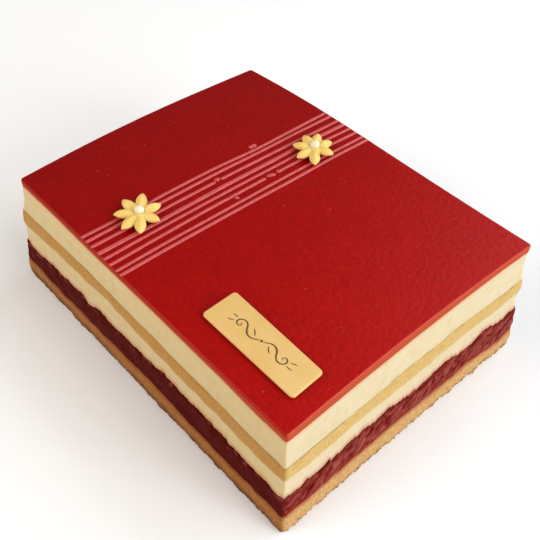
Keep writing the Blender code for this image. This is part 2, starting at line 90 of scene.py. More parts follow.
GLAZE_SWELLS = swells(
    front=((25, 30, 0.3), (88, 30, 0.5), (140, 14, -0.5)),
    right=((38, 35, -1.2), (75, 14, -0.3)),
    left=((60, 30, 0.4),),
)
MIDDLE_SPONGE_TOP_SWELLS = swells(
    front=((8, 10, -0.4), (52, 30, 1.1)),
    right=((8, 10, -0.5), (50, 50, -1.3), (116, 14, -0.7)),
    back=((60, 25, 0.5),),
)
MIDDLE_SPONGE_BOTTOM_SWELLS = swells(
    front=((4, 10, -1.0), (30, 10, 0.7), (58, 22, 2.5), (138, 10, -1.1)),
    right=((18, 10, -0.9), (48, 35, -1.2), (68, 10, -1.1), (108, 10, -1.5)),
    left=((70, 22, 0.6),),
)
COMPOTE_TOP_SWELLS = swells(
    front=((10, 20, -1.5), (32, 4, 0.4), (46, 4, -2.0), (54, 4, 1.3), (76, 4, -0.4), (92, 4, 0.8),
           (104, 20, 1.7), (124, 4, 0.8), (136, 4, -0.6)),
    right=((8, 4, -0.7), (38, 4, 1.0), (50, 6, 2.2), (58, 45, -0.6), (64, 10, -1.0), (81, 5, 2.4),
           (106, 4, 1.7), (115, 4, -2.0)),
    back=((30, 9, 1.2), (75, 14, -1.0), (112, 9, 1.1)),
    left=((28, 9, 1.1), (84, 12, -0.9)),
)
COMPOTE_BOTTOM_SWELLS = swells(
    front=((4, 5, -0.7), (24, 9, -1.6), (52, 9, -0.9), (84, 5, 0.7), (97, 16, 0.7)),
    right=((0, 16, 0.4), (50, 16, 0.3), (78, 18, -0.7), (112, 9, -2.2)),
    left=((40, 15, 0.6),),
)

# A surface between two layers: its height, its swells, the depth, grain and seed of its waves,
# and the scallops, ticks and lean of the edge that it shows at the cut.
Surface = namedtuple(
    "Surface", "height swells wave grain seed scallop scallop_length tick tick_length lean"
)
FLOOR = Surface(0.0, (), 0.0, 1.0, 0.0, 0.0, 1.0, 0.0, 1.0, 0.0)
BASE_TO_COMPOTE = Surface(9.0, COMPOTE_BOTTOM_SWELLS, 0.5, 11.0, 7.4, 0.1, 4.0, 0.05, 1.2, 0.0)
COMPOTE_TO_CREAM = Surface(18.3, COMPOTE_TOP_SWELLS, 1.5, 7.0, 17.9, 1.2, 5.0, 2.0, 1.6, 1.0)
CREAM_TO_SPONGE = Surface(27.5, MIDDLE_SPONGE_BOTTOM_SWELLS, 0.5, 16.0, 26.5, 0.12, 5.0, 0.08, 1.5, 0.0)
SPONGE_TO_CREAM = Surface(34.8, MIDDLE_SPONGE_TOP_SWELLS, 0.6, 13.0, 33.6, 0.35, 4.0, 0.2, 1.3, 0.0)
CREAM_TO_GLAZE = Surface(46.7, GLAZE_SWELLS, 0.3, 25.0, 46.7, 0.0, 1.0, 0.0, 1.0, 0.0)

# A layer's cut side: how far its foot, middle and head stand out, its rows of points, and the
# depth, grain and seed of its broad unevenness.
Face = namedtuple("Face", "foot middle head rows rough grain seed")
BASE_FACE = Face(0.1, 0.7, 0.4, 20, 0.45, 4.5, 3.7)
COMPOTE_FACE = Face(0.35, 0.35, 0.0, 34, 0.5, 5.5, 8.1)
LOWER_CREAM_FACE = Face(-0.35, -0.5, -0.3, 14, 0.15, 12.0, 1.9)
MIDDLE_SPONGE_FACE = Face(0.0, 0.45, 0.1, 18, 0.35, 5.0, 5.3)
UPPER_CREAM_FACE = Face(0.1, -0.6, -0.5, 16, 0.15, 14.0, 2.6)

RIM_RADIUS = 0.6
RIM_STEPS = 6
GLAZE_SIDE_ROWS = 5
GLAZE_FOOT_SET_IN = 0.15
TOP_RINGS = (0.998, 0.98)

STRIPE_RELIEF = 0.45
STRIPE_STATIONS = (1.1, 22.0, 42.0, 62.0, 82.0, 102.0, 121.4)
Stripe = namedtuple("Stripe", "places width breaks")
STRIPES = (
    Stripe((41.4, 41.8, 41.6, 41.9, 43.1, 43.3, 43.4), 1.4, ()),
    Stripe((44.4, 44.4, 44.6, 44.7, 45.4, 45.8, 46.4), 1.4, ()),
    Stripe((47.8, 48.0, 48.2, 48.5, 49.1, 49.9, 50.6), 1.4, ((56.9, 59.7),)),
    Stripe((52.1, 52.3, 52.3, 52.4, 52.8, 53.1, 54.0), 1.8, ()),
    Stripe((55.7, 55.5, 55.5, 55.7, 56.1, 56.5, 57.6), 1.3, ()),
    Stripe((59.3, 59.0, 58.8, 59.0, 59.3, 60.0, 61.1), 1.4, ((73.1, 79.2),)),
    Stripe((63.1, 62.9, 63.1, 63.3, 63.5, 64.1, 64.9), 1.3, ()),
    Stripe((65.7, 65.6, 65.8, 66.1, 66.6, 66.7, 67.5), 1.4, ()),
)
Drop = namedtuple("Drop", "along across length width turn")
DROPS = (
    Drop(40.8, 81.7, 2.1, 1.7, 70),
    Drop(40.9, 83.2, 2.4, 2.1, 60),
    Drop(47.7, 58.4, 2.4, 1.8, 68),
    Drop(59.1, 76.1, 3.8, 1.8, 73),
    Drop(59.3, 79.9, 2.2, 1.8, 90),
    Drop(60.8, 57.2, 1.7, 1.5, 60),
)
DROP_RELIEF = 0.55
DROP_DENT = 0.25
DROP_DENTS_ACROSS = 1.6

TOPPING_GAP = 0.3
PETAL_WIDTH = 4.3
PETAL_BACK = 1.8
PETAL_BELLY = 0.8
PETAL_ROOT = 0.8
PETAL_POINT = 0.85
PETAL_TILT = math.radians(3)
PETAL_CREST = 0.3
PETAL_CREST_WIDTH = 0.28
PETAL_WOBBLE = Vector((0, 0.12, 0.08))
PETAL_WOBBLE_GRAIN = 2.5
PETAL_VOXEL = 0.2
PETAL_SMOOTHINGS = 3
BUTTON_RADIUS = 3.6
BUTTON_BACK = 2.5
PEARL_DIAMETER = 3.9
PEARL_SINK = 2.3
PEARL_ROOM = 0.12
Petal = namedtuple("Petal", "direction reach")
Flower = namedtuple("Flower", "name along across petals")
FLOWERS = (
    Flower("left", 46.1, 23.0, (Petal(137, 11.2), Petal(183, 10.1), Petal(234, 9.6), Petal(286, 10.6),
                                Petal(326, 11.2), Petal(21, 8.8), Petal(83, 9.2))),
    Flower("right", 59.6, 98.9, (Petal(127, 9.8), Petal(166, 9.2), Petal(216, 9.1), Petal(270, 9.9),
                                 Petal(316, 11.0), Petal(22, 8.3), Petal(80, 8.5))),
)

PLAQUE_PLACE = (119.9, 16.4)
PLAQUE_CORNERS = {
    (-1, -1): (-21.65, -7.35),
    (1, -1): (22.9, -7.4),
    (1, 1): (21.7, 6.9),
    (-1, 1): (-22.45, 7.75),
}
PLAQUE_THICKNESS = 1.3
PLAQUE_CORNER = 1.5
PLAQUE_EDGE = 0.6

# ---------------------------------------------------------------- the cake's outline


def on_glaze(along, across):
    """The plan point of a place on the glaze, from the nominal left and front sides."""
    return Vector((along - LENGTH / 2, across - WIDTH / 2))


def plan_shift():
    """How far the solids' common middle moved the plan: the left pearl tells."""
    low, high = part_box("pearl_left")
    middle = (low + high) / 2 / MM
    return middle.xy - on_glaze(FLOWERS[0].along, FLOWERS[0].across)


SHIFT = plan_shift()


def stands_out(side, height):
    """How far a side stands out at a height from where it is at the top."""
    return side.flare * (1 - height / HEIGHT) + side.bulge * math.sin(math.pi * height / HEIGHT)


def side_ends(height):
    """The corners that each side of the cut runs between at a height, before they are rounded."""
    points = []
    for x_sign, y_sign, stray_x, stray_y in CORNERS:
        out_x = stands_out(SIDES["right" if x_sign > 0 else "left"], height)
        out_y = stands_out(SIDES["back" if y_sign > 0 else "front"], height)
        x = x_sign * (LENGTH / 2 + out_x) + stray_x
        y = y_sign * (WIDTH / 2 + out_y) + stray_y
        points.append(Vector((x, y)))
    return dict(zip(SIDES, zip(points, points[1:] + points[:1])))


def side_point(name, height, distance, ends=None):
    """The point on a bowed side at a height and a distance from its first corner."""
    start, end = (ends or side_ends(height))[name]
    side = SIDES[name]
    along = end - start
    outward = Vector((along.y, -along.x)).normalized()
    share = min(max(distance / along.length, 0.0), 1.0)
    skew = math.log(0.5) / math.log(side.peak)
    bow = side.bow + (side.foot_bow - side.bow) * (1 - height / HEIGHT)
    return start + along * share + outward * bow * math.sin(math.pi * share**skew)


def plan_ring(height):
    """The outline at a height, anticlockwise, as (point, outward direction) pairs."""
    runs = []
    corners = []
    ends = side_ends(height)
    for name, (start, end) in ends.items():
        straight = (end - start).length - 2 * CORNER_RADIUS
        count = SIDES[name].columns
        steps = [CORNER_RADIUS + straight * step / count for step in range(count + 1)]
        runs.append([side_point(name, height, distance, ends) for distance in steps])
        corners.append(end)
    ring = []
    for index, run in enumerate(runs):
        before, corner, after = run[-1], corners[index], runs[(index + 1) % len(runs)][0]
        ring += run
        for step in range(1, CORNER_STEPS):
            t = step / CORNER_STEPS
            ring.append(before * (1 - t) ** 2 + corner * 2 * t * (1 - t) + after * t**2)
    pairs = []
    for index, point in enumerate(ring):
        along = ring[(index + 1) % len(ring)] - ring[index - 1]
        pairs.append((point, Vector((along.y, -along.x)).normalized()))
    return pairs


def waves(x, y, z, grain, seed):
    """Smooth unevenness from -1 to 1, with lumps about one grain across."""
    return noise.noise(Vector((x / grain + seed, y / grain - seed, z / grain)))


SMEAR_AND_SHADE_TURN = 0.9


def smeared_and_shaded(outward):
    """How far a side is smoothed and shaded: 1 at the front and the left, whose relief a knife dipped in
    water smoothed and whose finishes carry painted shade, 0 at the others.
    """
    facing = 0.5 - SMEAR_AND_SHADE_TURN * (outward.x + outward.y)
    return min(max(facing, 0.0), 1.0)


# An edge's scallops and ticks: the level and seed of the noise each is cut from, and the mean
# that is taken off both. A dry edge is more ragged than a damp one.
SCALLOP_LEVEL, SCALLOP_SEED = 3, 21.3
TICK_LEVEL, TICK_SEED = 7, 40.1
NOTCH_MEAN = 0.25
DRY_RAGGEDNESS = 1.2
DAMP_LOSS = 0.6


def surface_edge(surface):
    """The height and the lean of a surface's edge at each point of the outline."""
    ends = side_ends(surface.height)
    centres = [side_point(swell.side, surface.height, swell.along, ends) for swell in surface.swells]
    edge = []
    for point, outward in plan_ring(surface.height):
        if not surface.height:
            edge.append((0.0, 0.0))
            continue
        height = surface.height + surface.wave * waves(point.x, point.y, 0, surface.grain, surface.seed)
        for swell, centre in zip(surface.swells, centres):
            height += swell.rise * math.exp(-(((point - centre).length / swell.reach) ** 2))
        scallop = abs(waves(*point, SCALLOP_LEVEL, surface.scallop_length, SCALLOP_SEED)) - NOTCH_MEAN
        tick = abs(waves(*point, TICK_LEVEL, surface.tick_length, TICK_SEED)) - NOTCH_MEAN
        fine = surface.scallop * scallop + surface.tick * tick
        fine *= DRY_RAGGEDNESS - DAMP_LOSS * smeared_and_shaded(outward)
        edge.append((height + fine, surface.lean * fine))
    return edge


# ---------------------------------------------------------------- shaping


def lofted(rings, marks=None):
    """A closed bmesh whose side runs through rings of points, first to last, with flat caps.

    The side starts as a grid, unrolled, and each of its points is moved to its ring. Marks hold,
    for each mark's name, one number per point of each ring, and go with the points.
    """
    bm = bmesh.new()
    marks = marks or {}
    layers = {name: bm.verts.layers.float.new(name) for name in marks}
    count, bands = len(rings[0]), len(rings) - 1
    bmesh.ops.create_grid(bm, x_segments=count, y_segments=bands, size=1)
    for vertex in bm.verts:
        step = round((vertex.co.x + 1) / 2 * count) % count
        band = round((vertex.co.y + 1) / 2 * bands)
        vertex.co = rings[band][step]
        for name, layer in layers.items():
            vertex[layer] = marks[name][band][step]
    bmesh.ops.remove_doubles(bm, verts=bm.verts, dist=0.0001)
    bmesh.ops.holes_fill(bm, edges=bm.edges, sides=0)
    bmesh.ops.recalc_face_normals(bm, faces=bm.faces)
    return bm


def centre_cap(bm, count, height):
    """Turns the cap nearest a height into a shallow tent whose middle is at that height."""
    caps = [face for face in bm.faces if len(face.verts) == count]
    cap = min(caps, key=lambda face: abs(face.calc_center_median().z - height))
    peak = bmesh.ops.poke(bm, faces=[cap])["verts"][0]
    peak.co = Vector((0, 0, height))


def loose(name, bm):
    """A bmesh as a plain object that isn't in the scene yet."""
    mesh = bpy.data.meshes.new(name)
    bm.to_mesh(mesh)
    bm.free()
    return bpy.data.objects.new(name, mesh)


def placed(name, bm, sharp=50, shift=True):
    """A piece from a bmesh in millimetres, put where the solids lie and shaded smooth."""
    if shift:
        bmesh.ops.translate(bm, vec=(SHIFT.x, SHIFT.y, 0), verts=bm.verts)
    bmesh.ops.scale(bm, vec=(MM, MM, MM), verts=bm.verts)
    piece = loose(name, bm)
    piece.data.shade_smooth()
    piece.data.set_sharp_from_angle(angle=math.radians(sharp))
    bpy.context.scene.collection.objects.link(piece)
    return piece


def dressed(piece, finish, slot, *nodes):
    """The piece gets its finish, rides on the cake and stands for its nodes."""
    piece.data.materials.append(finish)
    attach(piece, "root")
    if nodes:
        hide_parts(*nodes)


def add_together(bm, other):
    """Adds another bmesh's shape to this one and frees it."""
    mesh = bpy.data.meshes.new("passing")
    other.to_mesh(mesh)
    other.free()
    bm.from_mesh(mesh)
    bpy.data.meshes.remove(mesh)


# ---------------------------------------------------------------- the layers' cut sides

# Lumps of a cut: how far they stand out, about how wide they are, and the seed of their noise.
Lumps = namedtuple("Lumps", "relief grain seed")


def lumpy(place, *kinds):
    """How far all the kinds of lumps together stand out at a place."""
    return sum(relief * waves(*place, grain, seed) for relief, grain, seed in kinds)


PORE_RADIUS = 0.45
PORE_CHOICE = 7.3


def pores(place, cell, seed):
    """How deep a place lies in a pore, from 0 to 1: about half of the cells hold one."""
    distances, centres = noise.voronoi(place / cell + Vector((seed, seed, seed)))
    open_pore = noise.noise(centres[0] * PORE_CHOICE) > 0.0
    return max(0.0, 1 - distances[0] / PORE_RADIUS) if open_pore else 0.0


# How much of each cut's relief the wet knife smeared away.
BASE_SMEAR, COMPOTE_SMEAR, THIN_SPONGE_SMEAR = 0.6, 0.85, 0.5

BASE_LUMPS = (Lumps(0.16, 2.4, 4.4), Lumps(0.12, 0.9, 9.2))
BASE_PORE_CELL, BASE_PORE_SEED = 1.4, 2.2
CRUST_HEIGHT = 2.3
CRUST_FADE = 0.8
CRUST_EDGE = Lumps(1.7, 2.6, 6.1)
CRUST_CRAGS = Lumps(0.7, 0.9, 1.3)
CRUST_SWELLS = Lumps(0.15, 4.6, 2.9)
CRUST_STEP = 0.1
UNDERCUT = 0.25
UNDERCUT_HEIGHT = 0.35


def baked_crumb(point, outward, z, share):
    """The base sponge's cut: fine crumb with small pores, and a ragged crust at its foot."""
    place = Vector((*point, z))
    dry = 1 - BASE_SMEAR * smeared_and_shaded(outward)
    lumps = lumpy(place, *BASE_LUMPS)
    pore = pores(place, BASE_PORE_CELL, BASE_PORE_SEED)
    evened_at_top = min(1.0, (1 - share) / 0.2)
    out = dry * (lumps - 0.3 * pore) * evened_at_top
    crust_height = CRUST_HEIGHT + lumpy((*point, 0), CRUST_EDGE)
    crust = min(max((crust_height - z) / CRUST_FADE, 0.0), 1.0)
    crags = lumpy((*point, z), CRUST_CRAGS) + lumpy((*point, 0), CRUST_SWELLS)
    out += crust * dry * (CRUST_STEP + crags)
    out -= UNDERCUT * max(0.0, 1 - z / UNDERCUT_HEIGHT) ** 2
    return out, 0.5 + 1.2 * lumps - 0.5 * pore, crust


NEAR_CORNER = side_ends(HEIGHT)["front"][1]
LEVEL_REACH = 12.0
STROKE_SLANT = math.radians(32)
WARP = 0.9
WARP_GRAIN = 3.5
WARP_SEEDS = (2.6, 6.9, 11.3)
# Strokes of the knife and threads of pulp: how far they are drawn out, their width and seed.
Strokes = namedtuple("Strokes", "stretch grain seed")
KNIFE_STROKES = Strokes(4.0, 1.9, 5.5)
PULP_THREADS = Strokes(3.0, 0.85, 9.4)
PULP_LUMPS = Lumps(1.0, 2.8, 12.6)
NIBS = Lumps(1.0, 2.6, 31.4)
NIBS_FROM = 0.75


def drawn_out(place, way, strokes):
    """The noise at a place, from -1 to 1, for strokes drawn out along a way."""
    squeezed = place - way * (place.dot(way) * (1 - 1 / strokes.stretch))
    return waves(*squeezed, strokes.grain, strokes.seed)


def pulled_strokes(point, outward, z, share):
    """The compote's cut: short slanting strokes with creases between them, level by the near corner.

    The front and the left were wiped smooth, but for their upper edge, where small bits hang over.
    """
    level = math.exp(-(((point - NEAR_CORNER).length / LEVEL_REACH) ** 2))
    slant = STROKE_SLANT * (1 - level)
    way = Vector((-outward.y * math.cos(slant), outward.x * math.cos(slant), math.sin(slant)))
    place = Vector((*(point - NEAR_CORNER), z))
    place += WARP * Vector([waves(*place, WARP_GRAIN, seed) for seed in WARP_SEEDS])
    stroke = drawn_out(place, way, KNIFE_STROKES)
    thread = drawn_out(place, way, PULP_THREADS)
    ridge = min(abs(stroke) * 3.2, 1.0) * (0.8 + 0.2 * min(abs(thread) * 4, 1.0))
    lump = lumpy(place, PULP_LUMPS)
    nib = max(0.0, share - NIBS_FROM) / (1 - NIBS_FROM) * max(0.0, lumpy((*point, z), NIBS))
    evened_at_edges = min(1.0, share / 0.15, (1 - share) / 0.1 + 0.3)
    rough = (1 - COMPOTE_SMEAR * smeared_and_shaded(outward)) * evened_at_edges
    out = rough * (0.8 * ridge - 0.45 + 0.25 * lump + 0.16 * thread) + 0.5 * nib
    return out, 0.1 + 0.65 * ridge + 0.3 * lump + 0.25 * thread, min(1.8 * nib, 1.0)


CREAM_MOTTLE = Lumps(1.0, 3.1, 2.4)
BUBBLE_CELL, BUBBLE_SEED = 3.8, 6.6
BUBBLE_OPENS = 0.6


def smoothed_cream(point, outward, z, share):
    """A cream's cut: almost smooth, with the faintest waves and a few burst bubbles."""
    mottle = lumpy((*point, z), CREAM_MOTTLE)
    bubble = max(0.0, pores(Vector((*point, z)), BUBBLE_CELL, BUBBLE_SEED) - BUBBLE_OPENS) * 2
    return 0.05 * mottle - 0.12 * bubble, 0.5 + 0.5 * mottle - 0.4 * bubble, 0.0


THIN_SPONGE_LUMPS = (Lumps(0.1, 2.2, 5.1), Lumps(0.07, 0.9, 3.9))
THIN_SPONGE_PORE_CELL, THIN_SPONGE_PORE_SEED = 1.5, 8.4


def soaked_crumb(point, outward, z, share):
    """The thin sponge's cut: fine close crumb with small pores."""
    place = Vector((*point, z))
    dry = 1 - THIN_SPONGE_SMEAR * smeared_and_shaded(outward)
    lumps = lumpy(place, *THIN_SPONGE_LUMPS)
    pore = pores(place, THIN_SPONGE_PORE_CELL, THIN_SPONGE_PORE_SEED)
    return dry * (lumps - 0.2 * pore), 0.5 + 1.4 * lumps - 0.4 * pore, 0.0


LAYER_MARKS = ("raised", "browned", "smeared_and_shaded", "above", "below")
LAYER_SHARP = 70


def add_layer(name, bottom, top, face, relief, finish, slot):
    """A whole layer between two surfaces, with its cut side in relief.

    Its marks say how raised each point is, its crust on a sponge and its nib on the compote,
    which gets a painted glint, how smoothed and painted in shade its side is, and how far it lies
    above the layer's lower edge and below its upper edge.
    """
    lowest, highest = surface_edge(bottom), surface_edge(top)
    rings, marks = [], {mark: [] for mark in LAYER_MARKS}
    for row in range(face.rows + 1):
        share = row / face.rows
        nearest = face.foot if share < 0.5 else face.head
        stand_out = face.middle + (nearest - face.middle) * abs(2 * share - 1) ** 2
        middle_height = bottom.height + (top.height - bottom.height) * share
        ring, rows = [], {mark: [] for mark in LAYER_MARKS}
        for index, (point, outward) in enumerate(plan_ring(middle_height)):
            low = lowest[index][0] + (SEEN_GAP / 2 if bottom.height else 0)
            high = highest[index][0] - SEEN_GAP / 2
            z = low + (high - low) * share
            rough = face.rough * waves(point.x, point.y, z, face.grain, face.seed)
            fine, raised, browned = relief(point, outward, z, share)
            tangent = Vector((-outward.y, outward.x))
            leant = lowest[index][1] * (1 - share) ** 2 + highest[index][1] * share**2
            place = point + outward * (stand_out + rough + fine) + tangent * leant
            ring.append(Vector((place.x, place.y, z)))
            for mark, value in zip(LAYER_MARKS, (raised, browned, smeared_and_shaded(outward), z - low, high - z)):
                rows[mark].append(value)
        rings.append(ring)
        for mark, values in rows.items():
            marks[mark].append(values)
    bm = lofted(rings, marks)
    count = len(rings[0])
    centre_cap(bm, count, top.height - SEEN_GAP / 2)
    if bottom.height:
        centre_cap(bm, count, bottom.height + SEEN_GAP / 2)
    dressed(placed(name + "_cut", bm, LAYER_SHARP), finish, slot, name)


# ---------------------------------------------------------------- the glaze and its piping

GLAZE_SIDE_LUMPS = Lumps(0.05, 3, 1)


def glaze_slab(finish):
    """The glaze: a foot drawn in, a straight side and a rounded rim, as one closed slab."""
    lowest = surface_edge(CREAM_TO_GLAZE)
    outline = plan_ring(HEIGHT)
    shoulder = HEIGHT - RIM_RADIUS
    rings, above, below = [], [], []
    # how far each side is painted in shade; the finish paints a rim highlight on the other sides
    shaded_side = [smeared_and_shaded(outward) for _, outward in outline]

    def add_ring(heights, set_in):
        ring = [
            Vector((*(point - outward * (set_in + lumpy((*point, z), GLAZE_SIDE_LUMPS))), z))
            for z, (point, outward) in zip(heights, outline)
        ]
        rings.append(ring)
        above.append([z - low for z, (low, _) in zip(heights, lowest)])
        below.append([HEIGHT - z for z in heights])

    for row in range(GLAZE_SIDE_ROWS + 1):
        share = row / GLAZE_SIDE_ROWS
        heights = [low + SEEN_GAP / 2 + (shoulder - low - SEEN_GAP / 2) * share for low, _ in lowest]
        add_ring(heights, GLAZE_FOOT_SET_IN * (1 - share) ** 2)
    for step in range(1, RIM_STEPS + 1):
        angle = math.pi / 2 * step / RIM_STEPS
        heights = [shoulder + RIM_RADIUS * math.sin(angle)] * len(outline)
        add_ring(heights, RIM_RADIUS * (1 - math.cos(angle)))
    for drawn_in in TOP_RINGS:
        rings.append([Vector((*(point.xy * drawn_in), HEIGHT)) for point in rings[-1]])
        above.append(above[-1])
        below.append(below[-1])
    bm = lofted(rings, {"above": above, "below": below, "smeared_and_shaded": [shaded_side] * len(rings)})
    centre_cap(bm, len(outline), CREAM_TO_GLAZE.height + SEEN_GAP / 2)
    dressed(placed("glaze_slab", bm), finish, "berry_glaze", "glaze")


def stripe_place(stripe, across):
    """The stripe's middle line at a distance from the front side, smooth through its places."""
    places = stripe.places
    stations = STRIPE_STATIONS
    span = sum(across > station for station in stations[1:-1])
    start, end = places[span], places[span + 1]
    t = (across - stations[span]) / (stations[span + 1] - stations[span])
    start_slope = (end - places[max(span - 1, 0)]) / 2
    end_slope = (places[min(span + 2, len(places) - 1)] - start) / 2
    ease = 3 * t**2 - 2 * t**3
    along = start + (end - start) * ease
    along += start_slope * (t - 2 * t**2 + t**3) + end_slope * (t**3 - t**2)
    return on_glaze(along, across)


STRIPE_POINTS = 14
STRIPE_SUNK = 0.25
STRIPE_STEP = 0.9
# A stripe's slow and quick swelling: its share of the width, its grain and the level of its noise.
STRIPE_SWELLS = ((0.12, 5, 0), (0.05, 1.3, 5))
STRIPE_SEED_STEP, DROP_SEED_STEP = 3.7, 5.1
FRONT_TURNS = (-52, -38, -20, 0)
BACK_SHORT_OF_RIM = 0.7
END_DISTANCES = (0.04, 0.18, 0.42)
END_FULLNESS = (0.35, 0.75, 0.95)


def thread_ring(place, normal, across_way, half_width, relief):
    """One cross-section of a piped thread: round above, sunk below."""
    ring = []
    for point in range(STRIPE_POINTS):
        angle = 2 * math.pi * point / STRIPE_POINTS
        up = math.sin(angle)
        lift = relief * up if up > 0 else STRIPE_SUNK * up
        ring.append(place + across_way * half_width * math.cos(angle) + normal * lift)
    return ring


def piped_thread(stripe, start, end, over_front, over_back, seed):
    """A run of piping from one distance from the front to another, up to the rims if it reaches them."""
    stations = []
    if over_front:
        start += RIM_RADIUS
        for angle in FRONT_TURNS:
            turn = math.radians(angle)
            stations.append(
                (start + RIM_RADIUS * math.sin(turn), HEIGHT - RIM_RADIUS * (1 - math.cos(turn)), angle)
            )
    if over_back:
        end -= RIM_RADIUS * BACK_SHORT_OF_RIM
    count = round((end - start) / STRIPE_STEP)
    flat = [] if over_front else [start + tip for tip in END_DISTANCES]
    flat += [start + (end - start) * n / count for n in range(1, count)]
    flat += [end - tip for tip in reversed(END_DISTANCES)]
    stations += [(across, HEIGHT, 0) for across in flat]
    rings = []
    for index, (across, height, angle) in enumerate(stations):
        place = stripe_place(stripe, across)
        ahead = stripe_place(stripe, across + 0.5) - place
        across_way = Vector((ahead.y, -ahead.x, 0)).normalized()
        turn = math.radians(angle)
        normal = Vector((0, math.sin(turn), math.cos(turn)))
        from_end = min(index, len(stations) - 1 - index)
        full = END_FULLNESS[from_end] if from_end < len(END_FULLNESS) else 1.0
        uneven = sum(
            share * noise.noise(Vector((across / grain, seed, level)))
            for share, grain, level in STRIPE_SWELLS
        )
        half_width = stripe.width / 2 * full * (1 + uneven)
        place = Vector((place.x, place.y, height))
        rings.append(thread_ring(place, normal, across_way, half_width, STRIPE_RELIEF * full))
    return lofted(rings)


def rim_ends(front_along, back_along):
    """Where a line across the glaze meets its front and back rims, from the nominal front side."""
    front = side_point("front", HEIGHT, front_along)
    back = side_point("back", HEIGHT, LENGTH - back_along)
    return front.y + WIDTH / 2, back.y + WIDTH / 2


def piping(finish):
    """The eight piped stripes with their breaks, and the stray drops, as one piece."""
    bm = bmesh.new()
    for number, stripe in enumerate(STRIPES):
        front, back = rim_ends(stripe.places[0], stripe.places[-1])
        ends = [front]
        for gap in stripe.breaks:
            ends += gap
        ends.append(back)
        seed = number * STRIPE_SEED_STEP
        for start, end in zip(ends[::2], ends[1::2]):
            add_together(bm, piped_thread(stripe, start, end, start == front, end == back, seed))
    for number, drop in enumerate(DROPS):
        bead = bmesh.new()
        bmesh.ops.create_uvsphere(bead, u_segments=20, v_segments=12, radius=0.5)
        seed = Vector((number * DROP_SEED_STEP, 0, 0))
        for vertex in bead.verts:
            vertex.co *= 1 + DROP_DENT * noise.noise(vertex.co * DROP_DENTS_ACROSS + seed)
        bmesh.ops.scale(bead, vec=(drop.length, drop.width, 2 * DROP_RELIEF), verts=bead.verts)
        turn = Matrix.Rotation(math.radians(drop.turn), 4, "Z")
        place = on_glaze(drop.along, drop.across)
        bead.transform(Matrix.Translation((place.x, place.y, HEIGHT)) @ turn)
        add_together(bm, bead)
    dressed(placed("piped_stripes", bm, 60), finish, "berry_glaze", "glaze")


# ---------------------------------------------------------------- the sugar flowers


def petal(direction, reach):
    """A plump petal along a direction, crested along its back and drawn to a tip."""
    bm = bmesh.new()
    bmesh.ops.create_uvsphere(bm, u_segments=28, v_segments=22, radius=1)
    bmesh.ops.rotate(bm, matrix=Matrix.Rotation(math.pi / 2, 3, "Y"), verts=bm.verts)
    for vertex in bm.verts:
        x, y, z = vertex.co
        way = (x + 1) / 2
        point = math.hypot(y, z) ** (PETAL_POINT * way)
        crest = PETAL_CREST * max(z, 0.0) * math.exp(-((y / PETAL_CREST_WIDTH) ** 2))
        vertex.co.x = PETAL_ROOT + way * (reach - PETAL_ROOT)
        vertex.co.y = y * point * PETAL_WIDTH / 2
        vertex.co.z = z * point * (PETAL_BACK if z > 0 else PETAL_BELLY) + crest
        wobble = noise.noise(vertex.co / PETAL_WOBBLE_GRAIN + Vector((direction, 0, 0)))
        vertex.co += PETAL_WOBBLE * wobble
    tilt = Matrix.Rotation(-PETAL_TILT, 4, "Y")
    turn = Matrix.Rotation(math.radians(direction), 4, "Z")
    bm.transform(turn @ tilt)
    return bm


def ball(radius, centre, segments=32):
    """A ball as a bmesh."""
    bm = bmesh.new()
    bmesh.ops.create_uvsphere(bm, u_segments=segments, v_segments=segments // 2, radius=radius)
    bmesh.ops.translate(bm, vec=Vector(centre), verts=bm.verts)
    return bm


def finished_mesh(piece):
    """An object's mesh with its modifiers applied."""
    graph = bpy.context.evaluated_depsgraph_get()
    return bpy.data.meshes.new_from_object(piece.evaluated_get(graph))


def joined(body, parts, operation):
    """The body with loose parts joined to it or cut from it, as a new mesh; the parts are removed."""
    held = bpy.data.collections.new("held")
    bpy.context.scene.collection.children.link(held)
    for part in parts:
        held.objects.link(part)
    boolean = body.modifiers.new("held", "BOOLEAN")
    boolean.operation = operation
    boolean.operand_type = "COLLECTION"
    boolean.collection = held
    boolean.solver = "EXACT"
    mesh = finished_mesh(body)
    body.modifiers.clear()
    body.data = mesh
    for part in parts:
        bpy.data.objects.remove(part)
    bpy.data.collections.remove(held)


